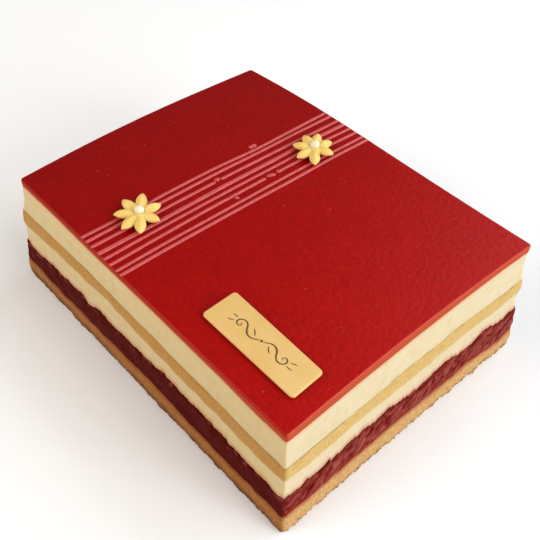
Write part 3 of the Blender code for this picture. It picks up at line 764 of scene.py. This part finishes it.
def add_flower(flower, finish, pearl_finish):
    """Seven petals round a low button, worked together like soft paste, and the pearl on top."""
    place = on_glaze(flower.along, flower.across)
    middle = HEIGHT + STRIPE_RELIEF + TOPPING_GAP + PETAL_BELLY
    bm = ball(1, (0, 0, 0))
    for vertex in bm.verts:
        vertex.co.x *= BUTTON_RADIUS
        vertex.co.y *= BUTTON_RADIUS
        vertex.co.z *= BUTTON_BACK if vertex.co.z > 0 else PETAL_BELLY
    body = loose("button", bm)
    bpy.context.scene.collection.objects.link(body)
    joined(body, [loose("petal", petal(*each)) for each in flower.petals], "UNION")
    pearl_centre = BUTTON_BACK - PEARL_SINK + PEARL_DIAMETER / 2
    dimple = loose("dimple", ball(PEARL_DIAMETER / 2 + PEARL_ROOM, (0, 0, pearl_centre)))
    joined(body, [dimple], "DIFFERENCE")
    remesh = body.modifiers.new("paste", "REMESH")
    remesh.mode = "VOXEL"
    remesh.voxel_size = PETAL_VOXEL
    mesh = finished_mesh(body)
    bpy.data.objects.remove(body)
    bm = bmesh.new()
    bm.from_mesh(mesh)
    bpy.data.meshes.remove(mesh)
    for _ in range(PETAL_SMOOTHINGS):
        bmesh.ops.smooth_vert(
            bm, verts=bm.verts, factor=0.5, use_axis_x=True, use_axis_y=True, use_axis_z=True
        )
    bmesh.ops.translate(bm, vec=(place.x, place.y, middle), verts=bm.verts)
    name = "flower_" + flower.name
    dressed(placed(name + "_petals", bm, 80), finish, "sugar_paste", name)

    pearl = ball(PEARL_DIAMETER / 2, (place.x, place.y, middle + pearl_centre), 40)
    name = "pearl_" + flower.name
    dressed(placed(name + "_bead", pearl, 80), pearl_finish, "sugar_pearl", name)


# ---------------------------------------------------------------- the plaque


def plaque_matrix(height):
    """From the plaque's own middle to its place on the cake, at a height."""
    place = on_glaze(*PLAQUE_PLACE)
    front_left, front_right = side_ends(HEIGHT)["front"]
    along = front_right - front_left
    turn = Matrix.Rotation(math.atan2(along.y, along.x), 4, "Z")
    return Matrix.Translation((place.x, place.y, height)) @ turn


def add_plaque(finish):
    """A thin moulded slab with rounded corners and soft edges."""
    bm = bmesh.new()
    bmesh.ops.create_cube(bm, size=2)
    for vertex in bm.verts:
        x, y = PLAQUE_CORNERS[round(vertex.co.x), round(vertex.co.y)]
        vertex.co = Vector((x, y, vertex.co.z * PLAQUE_THICKNESS / 2))
    upright = [edge for edge in bm.edges if edge.verts[0].co.xy == edge.verts[1].co.xy]
    bmesh.ops.bevel(
        bm, geom=upright, offset=PLAQUE_CORNER, segments=8, profile=0.5, affect="EDGES", material=-1
    )
    level = [edge for edge in bm.edges if edge.verts[0].co.z == edge.verts[1].co.z]
    rims = [edge for edge in level if any(abs(face.normal.z) < 0.5 for face in edge.link_faces)]
    bmesh.ops.bevel(
        bm, geom=rims, offset=PLAQUE_EDGE, segments=6, profile=0.5, affect="EDGES", material=-1
    )
    bm.transform(plaque_matrix(HEIGHT + TOPPING_GAP + PLAQUE_THICKNESS / 2))
    dressed(placed("plaque_slab", bm, 40), finish, "plaque_chocolate", "plaque")


# Half of the plaque's ornament, a scroll with a curl and three leaves; the other half is the same
# turned round. Each stroke is a line of (x, y, thickness) from the plaque's middle.
SCROLL_STROKES = (
    ((0.9, 0.2, 0.5), (2.4, 1.6, 0.8), (4.6, 2.0, 1.0), (6.5, 0.9, 1.1), (7.7, -0.9, 1.0),
     (9.3, -1.9, 0.8), (11.2, -1.4, 0.9), (11.9, 0.2, 0.9), (10.9, 1.4, 0.8), (9.6, 1.2, 0.6),
     (9.4, 0.2, 0.5), (10.2, -0.1, 0.4)),
    ((3.1, 0.2, 0.4), (4.1, -0.9, 1.1), (5.4, -1.5, 0.3)),
    ((12.6, 1.0, 0.3), (13.6, 1.8, 1.0), (14.7, 2.0, 0.3)),
    ((12.6, -0.6, 0.3), (13.7, -1.0, 1.0), (14.8, -0.6, 0.3)),
)
SCROLL_LINE = 0.25
SCROLL_DOT = 0.5
SCROLL_FLATNESS = 0.4
SCROLL_LIFT = 0.06


def add_scroll(finish):
    """The fine scroll drawn on the plaque with thinned brown chocolate."""
    bm = bmesh.new()
    for turned in (1, -1):
        for stroke in SCROLL_STROKES:
            curve = bpy.data.curves.new("stroke", "CURVE")
            curve.dimensions = "3D"
            curve.bevel_depth = SCROLL_LINE
            curve.bevel_resolution = 2
            curve.use_fill_caps = True
            spline = curve.splines.new("NURBS")
            spline.points.add(len(stroke) - 1)
            for (x, y, thickness), point in zip(stroke, spline.points):
                point.co = (turned * x, turned * y, 0, 1)
                point.radius = thickness
            spline.order_u = 3
            spline.use_endpoint_u = True
            spline.resolution_u = 6
            line = bpy.data.objects.new("stroke", curve)
            bpy.context.scene.collection.objects.link(line)
            mesh = finished_mesh(line)
            bm.from_mesh(mesh)
            bpy.data.objects.remove(line)
            bpy.data.meshes.remove(mesh)
    add_together(bm, ball(SCROLL_DOT, (0, 0, 0), 16))
    bmesh.ops.remove_doubles(bm, verts=bm.verts, dist=0.001)
    bmesh.ops.recalc_face_normals(bm, faces=bm.faces)
    bmesh.ops.scale(bm, vec=(1, 1, SCROLL_FLATNESS), verts=bm.verts)
    bm.transform(plaque_matrix(HEIGHT + TOPPING_GAP + PLAQUE_THICKNESS + SCROLL_LIFT))
    dressed(placed("plaque_scroll", bm, 60), finish, "plaque_chocolate")


# ---------------------------------------------------------------- specks on the glaze

SEEN_SPECKS = ((87.9, 79.4), (75.2, 67.8), (12.7, 50.1), (14.0, 26.8), (134.1, 4.2))
SEEN_SPECK_RADIUS = 0.34
SPECK_RADII = (0.12, 0.26)
SPECK_COUNT = 46
SPECK_SEED = 17
PIPED_BAND = (38, 71)
PLAQUE_REACH = (24, 9)


def add_specks(finish):
    """Tiny bubbles and dust that set in the glaze, as low domes."""
    chance = random.Random(SPECK_SEED)
    spots = [(*spot, SEEN_SPECK_RADIUS) for spot in SEEN_SPECKS]
    while len(spots) < SPECK_COUNT:
        along, across = chance.uniform(3, LENGTH - 3), chance.uniform(4, WIDTH - 3)
        from_plaque = (abs(along - PLAQUE_PLACE[0]), abs(across - PLAQUE_PLACE[1]))
        on_plaque = from_plaque[0] < PLAQUE_REACH[0] and from_plaque[1] < PLAQUE_REACH[1]
        if not on_plaque and not PIPED_BAND[0] < along < PIPED_BAND[1]:
            spots.append((along, across, chance.uniform(*SPECK_RADII)))
    bm = bmesh.new()
    for along, across, radius in spots:
        dome = bmesh.new()
        bmesh.ops.create_icosphere(dome, subdivisions=1, radius=radius)
        bmesh.ops.scale(dome, vec=(1, 1, 0.5), verts=dome.verts)
        place = on_glaze(along, across)
        bmesh.ops.translate(dome, vec=(place.x, place.y, HEIGHT), verts=dome.verts)
        add_together(bm, dome)
    dressed(placed("glaze_specks", bm, 80), finish, "berry_glaze", "glaze")


# ---------------------------------------------------------------- finishes


def linear(colour):
    """An sRGB hex colour as linear RGBA."""
    channels = [int(colour[i : i + 2], 16) / 255 for i in (1, 3, 5)]
    return (*[c / 12.92 if c <= 0.04045 else ((c + 0.055) / 1.055) ** 2.4 for c in channels], 1.0)


def per(millimetres):
    """The scale at which a texture repeats about once in so many millimetres."""
    return 1000 / millimetres


def add_node(finish, kind, inputs=(), stops=(), **settings):
    """Adds a node: its settings, its inputs as values or as links from sockets, and a ramp's stops."""
    tree = finish.node_tree
    node = tree.nodes["Principled BSDF"] if kind == "Shader" else tree.nodes.new("ShaderNode" + kind)
    for name, value in settings.items():
        setattr(node, name, value)
    for name, value in dict(inputs).items():
        if isinstance(value, bpy.types.NodeSocket):
            tree.links.new(value, node.inputs[name])
        else:
            node.inputs[name].default_value = value
    for index, (position, colour) in enumerate(stops):
        elements = node.color_ramp.elements
        stop = elements[index] if index < len(elements) else elements.new(position)
        stop.position = position
        stop.color = linear(colour)
    return node


# The colour sockets of a Mix node, which share their names with its number sockets.
MIX_SHARE, MIX_FIRST, MIX_SECOND, MIXED = 0, 6, 7, 2


def new_finish(name, *marks):
    """A new node material, the place on the cake, and the marks that its piece's points carry."""
    finish = bpy.data.materials.new(name)
    finish.use_nodes = True
    place = add_node(finish, "TexCoord").outputs["Object"]
    carried = [add_node(finish, "Attribute", attribute_name=mark).outputs["Fac"] for mark in marks]
    return finish, place, *carried


def blotched(finish, place, size, detail, stops, roughness=0.5):
    """Noise with blotches of a size in millimetres, and the colour that a ramp turns it to."""
    blotches = add_node(
        finish, "TexNoise", {"Vector": place, "Scale": per(size), "Detail": detail, "Roughness": roughness}
    )
    tones = add_node(finish, "ValToRGB", {"Fac": blotches.outputs["Fac"]}, stops=stops)
    return blotches.outputs["Fac"], tones.outputs["Color"]


def shaded(finish, colour, share, measure, stops):
    """A colour multiplied, by a share, with the colour that a ramp turns a measure to."""
    tones = add_node(finish, "ValToRGB", {"Fac": measure}, stops=stops)
    mixed = add_node(
        finish, "Mix", {MIX_SHARE: share, MIX_FIRST: colour, MIX_SECOND: tones.outputs["Color"]},
        data_type="RGBA", blend_type="MULTIPLY",
    )
    return mixed.outputs[MIXED]


def stained(finish, colour, stain, measure, full, none, share, where=None):
    """A colour with a stain, whose share is whole where a measure is full and fades away to none.

    The share of a stain that shows only in places is also multiplied by where it shows.
    """
    fade = add_node(
        finish, "MapRange",
        {"Value": measure, "From Min": full, "From Max": none, "To Min": share, "To Max": 0.0},
    ).outputs["Result"]
    if where is not None:
        fade = add_node(finish, "Math", {0: fade, 1: where}, operation="MULTIPLY").outputs["Value"]
    mixed = add_node(
        finish, "Mix", {MIX_SHARE: fade, MIX_FIRST: colour, MIX_SECOND: linear(stain)}, data_type="RGBA"
    )
    return mixed.outputs[MIXED]


def soft_surface(finish, colour, roughness, ior, bump, glow, specular=0.5):
    """A soft food's surface: its colour and gloss, its bump, and the glow of light that sinks in.

    The bump is a height, its strength and its depth in millimetres. The glow is its weight, how far
    red, green and blue light sink in against each other, and that depth in millimetres.
    """
    height, strength, depth = bump
    weight, reach, sinks_in = glow
    dented = add_node(finish, "Bump", {"Height": height, "Strength": strength, "Distance": depth * MM})
    add_node(
        finish, "Shader",
        {"Base Color": colour, "Roughness": roughness, "IOR": ior, "Specular IOR Level": specular,
         "Subsurface Weight": weight, "Subsurface Radius": reach, "Subsurface Scale": sinks_in * MM,
         "Normal": dented.outputs["Normal"]},
    )
    return finish


def baked_sponge_finish():
    """Baked almond sponge: a dry, matt, open crumb, golden where cut and brown at its crust.

    Light sinks a little into the crumb, so the pores read soft and warm rather than black.
    """
    finish, place, raised, browned, above, below, shaded_side = new_finish(
        "baked_almond_sponge", "raised", "browned", "above", "below", "smeared_and_shaded"
    )
    # crumbs about 1 mm across
    crumbs, tones = blotched(
        finish, place, 1.1, 3.0, ((0.3, "#aa7c46"), (0.5, "#b98f59"), (0.7, "#c49f6a")), roughness=0.6
    )
    # painted shade in the pores and hollows of the crumb
    hollow_shaded = shaded(finish, tones, 0.6, raised, ((0.0, "#b48654"), (0.45, "#ffffff")))
    # bran-like specks, some 0.7 mm across and 4 mm apart
    specks = add_node(finish, "TexVoronoi", {"Vector": place, "Scale": per(4.0)})
    specked = stained(finish, hollow_shaded, "#7f501d", specks.outputs["Distance"], 0.06, 0.11, 0.6)
    # the crust browned unevenly, in blots about 1.5 mm across
    blots = add_node(finish, "TexNoise", {"Vector": place, "Scale": per(1.5), "Detail": 3.0})
    blot = add_node(
        finish, "MapRange",
        {"Value": blots.outputs["Fac"], "From Min": 0.45, "From Max": 0.6, "To Min": 0.25, "To Max": 0.85},
    )
    crusted = stained(finish, specked, "#7e5624", browned, 1.0, 0.0, 1.0, where=blot.outputs["Result"])
    # juice from the compote above stains the topmost 2 mm red-brown
    juicy = stained(finish, crusted, "#945034", below, 0.1, 2.0, 0.8)
    # painted shade: the front and the left are darker, most over the lowest 5 mm
    side_shaded = add_node(
        finish, "Mix", {MIX_SHARE: shaded_side, MIX_FIRST: juicy, MIX_SECOND: linear("#d2b08a")},
        data_type="RGBA", blend_type="MULTIPLY",
    )
    foot_shaded = stained(finish, side_shaded.outputs[MIXED], "#5a340c", above, 1.8, 5.2, 0.75, where=shaded_side)
    return soft_surface(
        finish, foot_shaded, roughness=0.9, ior=1.45, specular=0.3, bump=(crumbs, 0.5, 0.12),
        glow=(0.2, (1.0, 0.55, 0.25), 0.8),
    )


def compote_finish():
    """Set berry compote: wet pulp in pectin jelly, dark in the hollows, pink where ridges catch light."""
    finish, place, raised, nibs, above, below, shaded_side = new_finish(
        "set_berry_compote", "raised", "browned", "above", "below", "smeared_and_shaded"
    )
    # painted shade in the hollows and a painted pink sheen on the ridges, by how raised the cut is
    tones = add_node(
        finish, "ValToRGB", {"Fac": raised},
        stops=((0.15, "#680e0c"), (0.5, "#802c28"), (0.9, "#984e44")),
    )
    # flecks of pulp about 1.5 mm across
    pulp = add_node(
        finish, "TexNoise", {"Vector": place, "Scale": per(1.4), "Detail": 4.0, "Roughness": 0.6}
    ).outputs["Fac"]
    fleshy = shaded(finish, tones.outputs["Color"], 0.6, pulp, ((0.3, "#c4b4b4"), (0.7, "#ffffff")))
    # juice that soaked down to the sponge, redder over the lowest 3 mm
    juicy = stained(finish, fleshy, "#8a2c1e", above, 0.4, 3.0, 0.65)
    # darker over the topmost millimetre, next to the cream
    brimmed = stained(finish, juicy, "#661410", below, 0.3, 1.5, 0.7)
    # painted shade darkens the front and the left; the small bits that hang over at the top get a painted
    # pink glint
    shade_painted = stained(finish, brimmed, "#480602", shaded_side, 1.0, 0.0, 0.95)
    nib_glinted = stained(finish, shade_painted, "#a84c44", nibs, 0.7, 0.1, 0.4)
    return soft_surface(
        finish, nib_glinted, roughness=0.6, ior=1.38, specular=0.04, bump=(pulp, 0.4, 0.15),
        glow=(0.1, (1.0, 0.2, 0.15), 0.8),
    )


def cream_finish(name, pink_foot, peach_head):
    """Set mousse cream: smooth, pale ivory and a little translucent, so its edges glow softly."""
    finish, place, raised, above, below, shaded_side = new_finish(name, "raised", "above", "below", "smeared_and_shaded")
    _, tones = blotched(finish, place, 3.0, 3.0, ((0.3, "#c6b38c"), (0.7, "#cab999")), roughness=0.55)
    # painted shade in the burst bubbles and low places of the cream
    hollow_shaded = shaded(finish, tones, 0.5, raised, ((0.0, "#ecdcb8"), (0.4, "#ffffff")))
    # painted glow: light from the compote tints the cream pink for about 2 mm above it
    pinked = stained(finish, hollow_shaded, "#b87058", above, 0.1, 2.4, pink_foot)
    # painted glow: light from the glaze above tints the topmost 2 mm peach
    shone = stained(finish, pinked, "#cf9068", below, 0.1, 2.2, peach_head)
    # painted shade: the front and the left are warmer and a little darker
    warm_shaded = add_node(
        finish, "Mix", {MIX_SHARE: shaded_side, MIX_FIRST: shone, MIX_SECOND: linear("#fff9e1")},
        data_type="RGBA", blend_type="MULTIPLY",
    )
    grain = add_node(finish, "TexNoise", {"Vector": place, "Scale": per(0.6), "Detail": 2.0})
    return soft_surface(
        finish, warm_shaded.outputs[MIXED], roughness=0.5, ior=1.45, specular=0.35,
        bump=(grain.outputs["Fac"], 0.2, 0.04), glow=(0.5, (1.0, 0.75, 0.45), 2.0),
    )


def soaked_sponge_finish():
    """Thin yellow sponge steeped in syrup: close syrupy crumb, browner along its upper edge."""
    finish, place, raised, above, below, shaded_side = new_finish(
        "soaked_yellow_sponge", "raised", "above", "below", "smeared_and_shaded"
    )
    # crumbs about 1 mm across
    crumbs, tones = blotched(
        finish, place, 1.0, 3.0, ((0.3, "#b48b4b"), (0.5, "#bb9a5b"), (0.72, "#c2a568")), roughness=0.6
    )
    # painted shade in the pores and hollows of the crumb
    hollow_shaded = shaded(finish, tones, 0.5, raised, ((0.0, "#cca066"), (0.42, "#ffffff")))
    # a thin olive-brown band along the top, about a millimetre deep, in patches
    patch_noise = add_node(finish, "TexNoise", {"Vector": place, "Scale": per(3.5), "Detail": 3.0})
    patch_share = add_node(
        finish, "MapRange", {"Value": patch_noise.outputs["Fac"], "From Min": 0.38, "From Max": 0.58, "To Min": 0.15}
    )
    top_darkened = stained(finish, hollow_shaded, "#927040", below, 0.2, 1.3, 0.25, where=patch_share.outputs["Result"])
    # cream smeared over the lowest 2 mm of the crumb
    creamed = stained(finish, top_darkened, "#c6b48a", above, 0.1, 2.0, 0.55)
    # painted shade: the front and the left are darker
    side_shaded = add_node(
        finish, "Mix", {MIX_SHARE: shaded_side, MIX_FIRST: creamed, MIX_SECOND: linear("#ebd4b5")},
        data_type="RGBA", blend_type="MULTIPLY",
    )
    return soft_surface(
        finish, side_shaded.outputs[MIXED], roughness=0.8, ior=1.45, specular=0.3, bump=(crumbs, 0.4, 0.1),
        glow=(0.3, (1.0, 0.6, 0.25), 1.0),
    )


def glaze_finish():
    """Set berry glaze: satin pectin jelly over cream, with a faint leathery skin.

    At its side the foot is painted orange, a painted glow as if the cream behind shone through the thin
    jelly.
    """
    finish, place, below, shaded_side = new_finish("set_berry_glaze", "below", "smeared_and_shaded")
    _, tones = blotched(finish, place, 14.0, 2.0, ((0.3, "#aa0604"), (0.7, "#b00805")))
    # painted light and shade: darker towards the left and lighter towards the right, where the windows are
    run = add_node(finish, "SeparateXYZ", {"Vector": place})
    thin = add_node(
        finish, "MapRange", {"Value": run.outputs["X"], "From Min": -80 * MM, "From Max": 80 * MM}
    )
    deep = shaded(finish, tones, 1.0, thin.outputs["Result"], ((0.0, "#ce9890"), (1.0, "#ffffff")))
    # the leathery skin is darker in its dents
    skin = add_node(
        finish, "TexNoise", {"Vector": place, "Scale": per(1.6), "Detail": 4.0, "Roughness": 0.6}
    ).outputs["Fac"]
    leathery = shaded(finish, deep, 0.7, skin, ((0.35, "#e2dcdc"), (0.62, "#ffffff")))
    # a painted highlight makes the rim paler at the right and the back, where it faces the windows
    rim = add_node(finish, "MapRange", {"Value": below, "From Min": 0.005, "From Max": 0.08})
    rim_highlighted = stained(finish, leathery, "#c86848", shaded_side, 0.0, 1.0, 0.4, where=rim.outputs["Result"])
    # a painted glow makes the side's foot orange
    glowing = stained(finish, rim_highlighted, "#a6462a", below, 2.0, 0.2, 1.0)
    # the skin ends at the rim: the knife left the side below it dull
    gloss, dullness = [
        add_node(
            finish, "MapRange",
            {"Value": below, "From Min": 0.15, "From Max": 0.5, "To Min": on_top, "To Max": at_side},
        ).outputs["Result"]
        for on_top, at_side in ((0.23, 0.03), (0.34, 0.7))
    ]
    return soft_surface(
        finish, glowing, roughness=dullness, ior=1.42, specular=gloss, bump=(skin, 1.0, 0.22),
        glow=(0.08, (1.0, 0.15, 0.1), 1.0),
    )


def piping_finish():
    """Piped salmon icing: opaque, soft and slightly glossy."""
    finish, place = new_finish("piped_salmon_icing")
    streaks, tones = blotched(finish, place, 2.5, 3.0, ((0.3, "#bc4a4a"), (0.7, "#ca5856")))
    return soft_surface(
        finish, tones, roughness=0.4, ior=1.45, bump=(streaks, 0.3, 0.05), glow=(0.2, (1.0, 0.4, 0.35), 0.6)
    )


def sugar_paste_finish():
    """Yellow sugar paste pressed and shaped by hand: matt, dense and a little translucent."""
    finish, place = new_finish("yellow_sugar_paste")
    _, tones = blotched(finish, place, 4.0, 2.0, ((0.3, "#e6c164"), (0.7, "#eed27e")))
    # painted shade: the petals' lowest 2 mm, towards the glaze, are deeper orange
    level = add_node(finish, "SeparateXYZ", {"Vector": place}).outputs["Z"]
    low_shaded = stained(finish, tones, "#d98a38", level, (HEIGHT + 0.6) * MM, (HEIGHT + 2.4) * MM, 0.75)
    grain = add_node(finish, "TexNoise", {"Vector": place, "Scale": per(0.7), "Detail": 3.0})
    return soft_surface(
        finish, low_shaded, roughness=0.5, ior=1.45, specular=0.4, bump=(grain.outputs["Fac"], 0.3, 0.06),
        glow=(0.35, (1.0, 0.6, 0.2), 1.2),
    )


def pearl_finish():
    """Polished sugar pearl: hard white sugar with a soft lustre."""
    finish, place = new_finish("polished_sugar_pearl")
    bloom, tones = blotched(finish, place, 1.2, 2.0, ((0.3, "#e4dab8"), (0.7, "#ece4cc")))
    return soft_surface(
        finish, tones, roughness=0.3, ior=1.5, bump=(bloom, 0.2, 0.04), glow=(0.3, (1.0, 0.9, 0.6), 1.0)
    )


def plaque_finish():
    """Moulded white chocolate, tinted pale yellow: smooth, dense and satin from the mould."""
    finish, place = new_finish("moulded_white_chocolate")
    _, tones = blotched(finish, place, 9.0, 2.0, ((0.3, "#e0b870"), (0.7, "#e5bf7c")))
    # painted shade: its edge is deeper orange, most at its foot
    level = add_node(finish, "SeparateXYZ", {"Vector": place}).outputs["Z"]
    low_shaded = stained(finish, tones, "#c88038", level, (HEIGHT + 0.4) * MM, (HEIGHT + 1.5) * MM, 0.7)
    skin = add_node(finish, "TexNoise", {"Vector": place, "Scale": per(1.2), "Detail": 3.0})
    return soft_surface(
        finish, low_shaded, roughness=0.38, ior=1.46, bump=(skin.outputs["Fac"], 0.2, 0.04),
        glow=(0.3, (1.0, 0.55, 0.25), 1.0),
    )


def scroll_finish():
    """Thinned brown chocolate drawn with a fine brush."""
    finish, place = new_finish("brushed_brown_chocolate")
    _, tones = blotched(finish, place, 1.5, 2.0, ((0.35, "#4a2c0e"), (0.7, "#6e4a1c")))
    add_node(finish, "Shader", {"Base Color": tones, "Roughness": 0.5, "IOR": 1.46})
    return finish


def speck_finish():
    """Bubbles that set in the glaze: the same jelly, paler, partly for the bubbles and partly as a painted
    glint.
    """
    finish, place = new_finish("glaze_bubbles")
    _, tones = blotched(finish, place, 8.0, 1.0, ((0.3, "#b03028"), (0.7, "#c04c42")))
    add_node(finish, "Shader", {"Base Color": tones, "Roughness": 0.3, "IOR": 1.42})
    return finish


# ---------------------------------------------------------------- floor, light and camera

FLOOR_RADIUS = 4000


def add_floor():
    """A wide white table, plain and matt."""
    bm = bmesh.new()
    bmesh.ops.create_circle(bm, cap_ends=True, segments=64, radius=FLOOR_RADIUS)
    floor = placed("floor", bm, shift=False)
    finish, place = new_finish("white_table")
    _, tones = blotched(finish, place, 400.0, 1.0, ((0.3, "#f8f9fb"), (0.7, "#fafbfd")))
    add_node(finish, "Shader", {"Base Color": tones, "Roughness": 0.9, "Specular IOR Level": 0.1})
    floor.data.materials.append(finish)


LIGHT_DISTANCE = 1.2
# Each light: its name, its direction from the cake, its size in metres, its watts and its colour.
LIGHTS = (
    ("window_right", (0.85, 0.5, 0.85), 0.9, 5.8, "#f9fdff"),
    ("window_right_low", (1.0, 0.1, 0.35), 0.8, 10.0, "#f9fdff"),
    ("window_back", (0.15, 1.0, 0.8), 0.9, 5.8, "#f9fdff"),
    ("lamp_front_left", (-0.6, -1.0, 0.7), 1.0, 11.5, "#fff6ec"),
)


def add_light(name, direction, size, power, colour):
    """A soft square light in a direction, facing the cake."""
    data = bpy.data.lights.new(name, "AREA")
    data.shape = "SQUARE"
    data.size = size
    data.energy = power
    data.color = linear(colour)[:3]
    lamp = bpy.data.objects.new(name, data)
    lamp.location = Vector(direction).normalized() * LIGHT_DISTANCE
    lamp.rotation_euler = (-lamp.location).to_track_quat("-Z", "Y").to_euler()
    bpy.context.scene.collection.objects.link(lamp)


def add_studio():
    """White walls all round, windows to the right and behind, and a warm lamp at the front left."""
    world = bpy.data.worlds.new("studio_walls")
    world.use_nodes = True
    backing = world.node_tree.nodes["Background"]
    backing.inputs["Color"].default_value = linear("#fffaf4")
    backing.inputs["Strength"].default_value = 0.2
    bpy.context.scene.world = world
    for light in LIGHTS:
        add_light(*light)
    bpy.context.scene.view_settings.view_transform = "Standard"


CAMERA_PLACE = (177.6, -170.2, 269.0)
CAMERA_AZIMUTH = math.radians(45.84)
CAMERA_ELEVATION = math.radians(45.26)
CAMERA_ROLL = math.radians(2.56)
CAMERA_LENS = 59.4


def add_camera():
    """The viewpoint: above the near corner, looking down at 45 degrees, rolled a little."""
    data = bpy.data.cameras.new("viewpoint")
    data.lens = CAMERA_LENS
    data.sensor_width = 36
    data.clip_start = 0.01
    data.clip_end = 20
    camera = bpy.data.objects.new("viewpoint", data)
    back = Vector((
        math.sin(CAMERA_AZIMUTH) * math.cos(CAMERA_ELEVATION),
        -math.cos(CAMERA_AZIMUTH) * math.cos(CAMERA_ELEVATION),
        math.sin(CAMERA_ELEVATION),
    ))
    right = (-back).cross(Vector((0, 0, 1))).normalized()
    up = right.cross(-back)
    tilted_right = right * math.cos(CAMERA_ROLL) + up * math.sin(CAMERA_ROLL)
    tilted_up = -right * math.sin(CAMERA_ROLL) + up * math.cos(CAMERA_ROLL)
    turn = Matrix((tilted_right, tilted_up, back)).transposed().to_4x4()
    place = Vector(CAMERA_PLACE) + Vector((SHIFT.x, SHIFT.y, 0))
    camera.matrix_world = Matrix.Translation(place * MM) @ turn
    bpy.context.scene.collection.objects.link(camera)
    bpy.context.scene.camera = camera


# ---------------------------------------------------------------- the whole cake

add_layer("base_sponge", FLOOR, BASE_TO_COMPOTE, BASE_FACE, baked_crumb,
          baked_sponge_finish(), "baked_sponge")
add_layer("berry_compote", BASE_TO_COMPOTE, COMPOTE_TO_CREAM, COMPOTE_FACE, pulled_strokes,
          compote_finish(), "berry_compote")
add_layer("cream_lower", COMPOTE_TO_CREAM, CREAM_TO_SPONGE, LOWER_CREAM_FACE, smoothed_cream,
          cream_finish("lower_mousse_cream", 0.75, 0.0), "cream")
add_layer("sponge_middle", CREAM_TO_SPONGE, SPONGE_TO_CREAM, MIDDLE_SPONGE_FACE, soaked_crumb,
          soaked_sponge_finish(), "yellow_sponge")
add_layer("cream_upper", SPONGE_TO_CREAM, CREAM_TO_GLAZE, UPPER_CREAM_FACE, smoothed_cream,
          cream_finish("upper_mousse_cream", 0.0, 0.7), "cream")
glaze_slab(glaze_finish())
piping(piping_finish())
add_specks(speck_finish())
paste, sugar = sugar_paste_finish(), pearl_finish()
for flower in FLOWERS:
    add_flower(flower, paste, sugar)
add_plaque(plaque_finish())
add_scroll(scroll_finish())
add_floor()
add_studio()
add_camera()
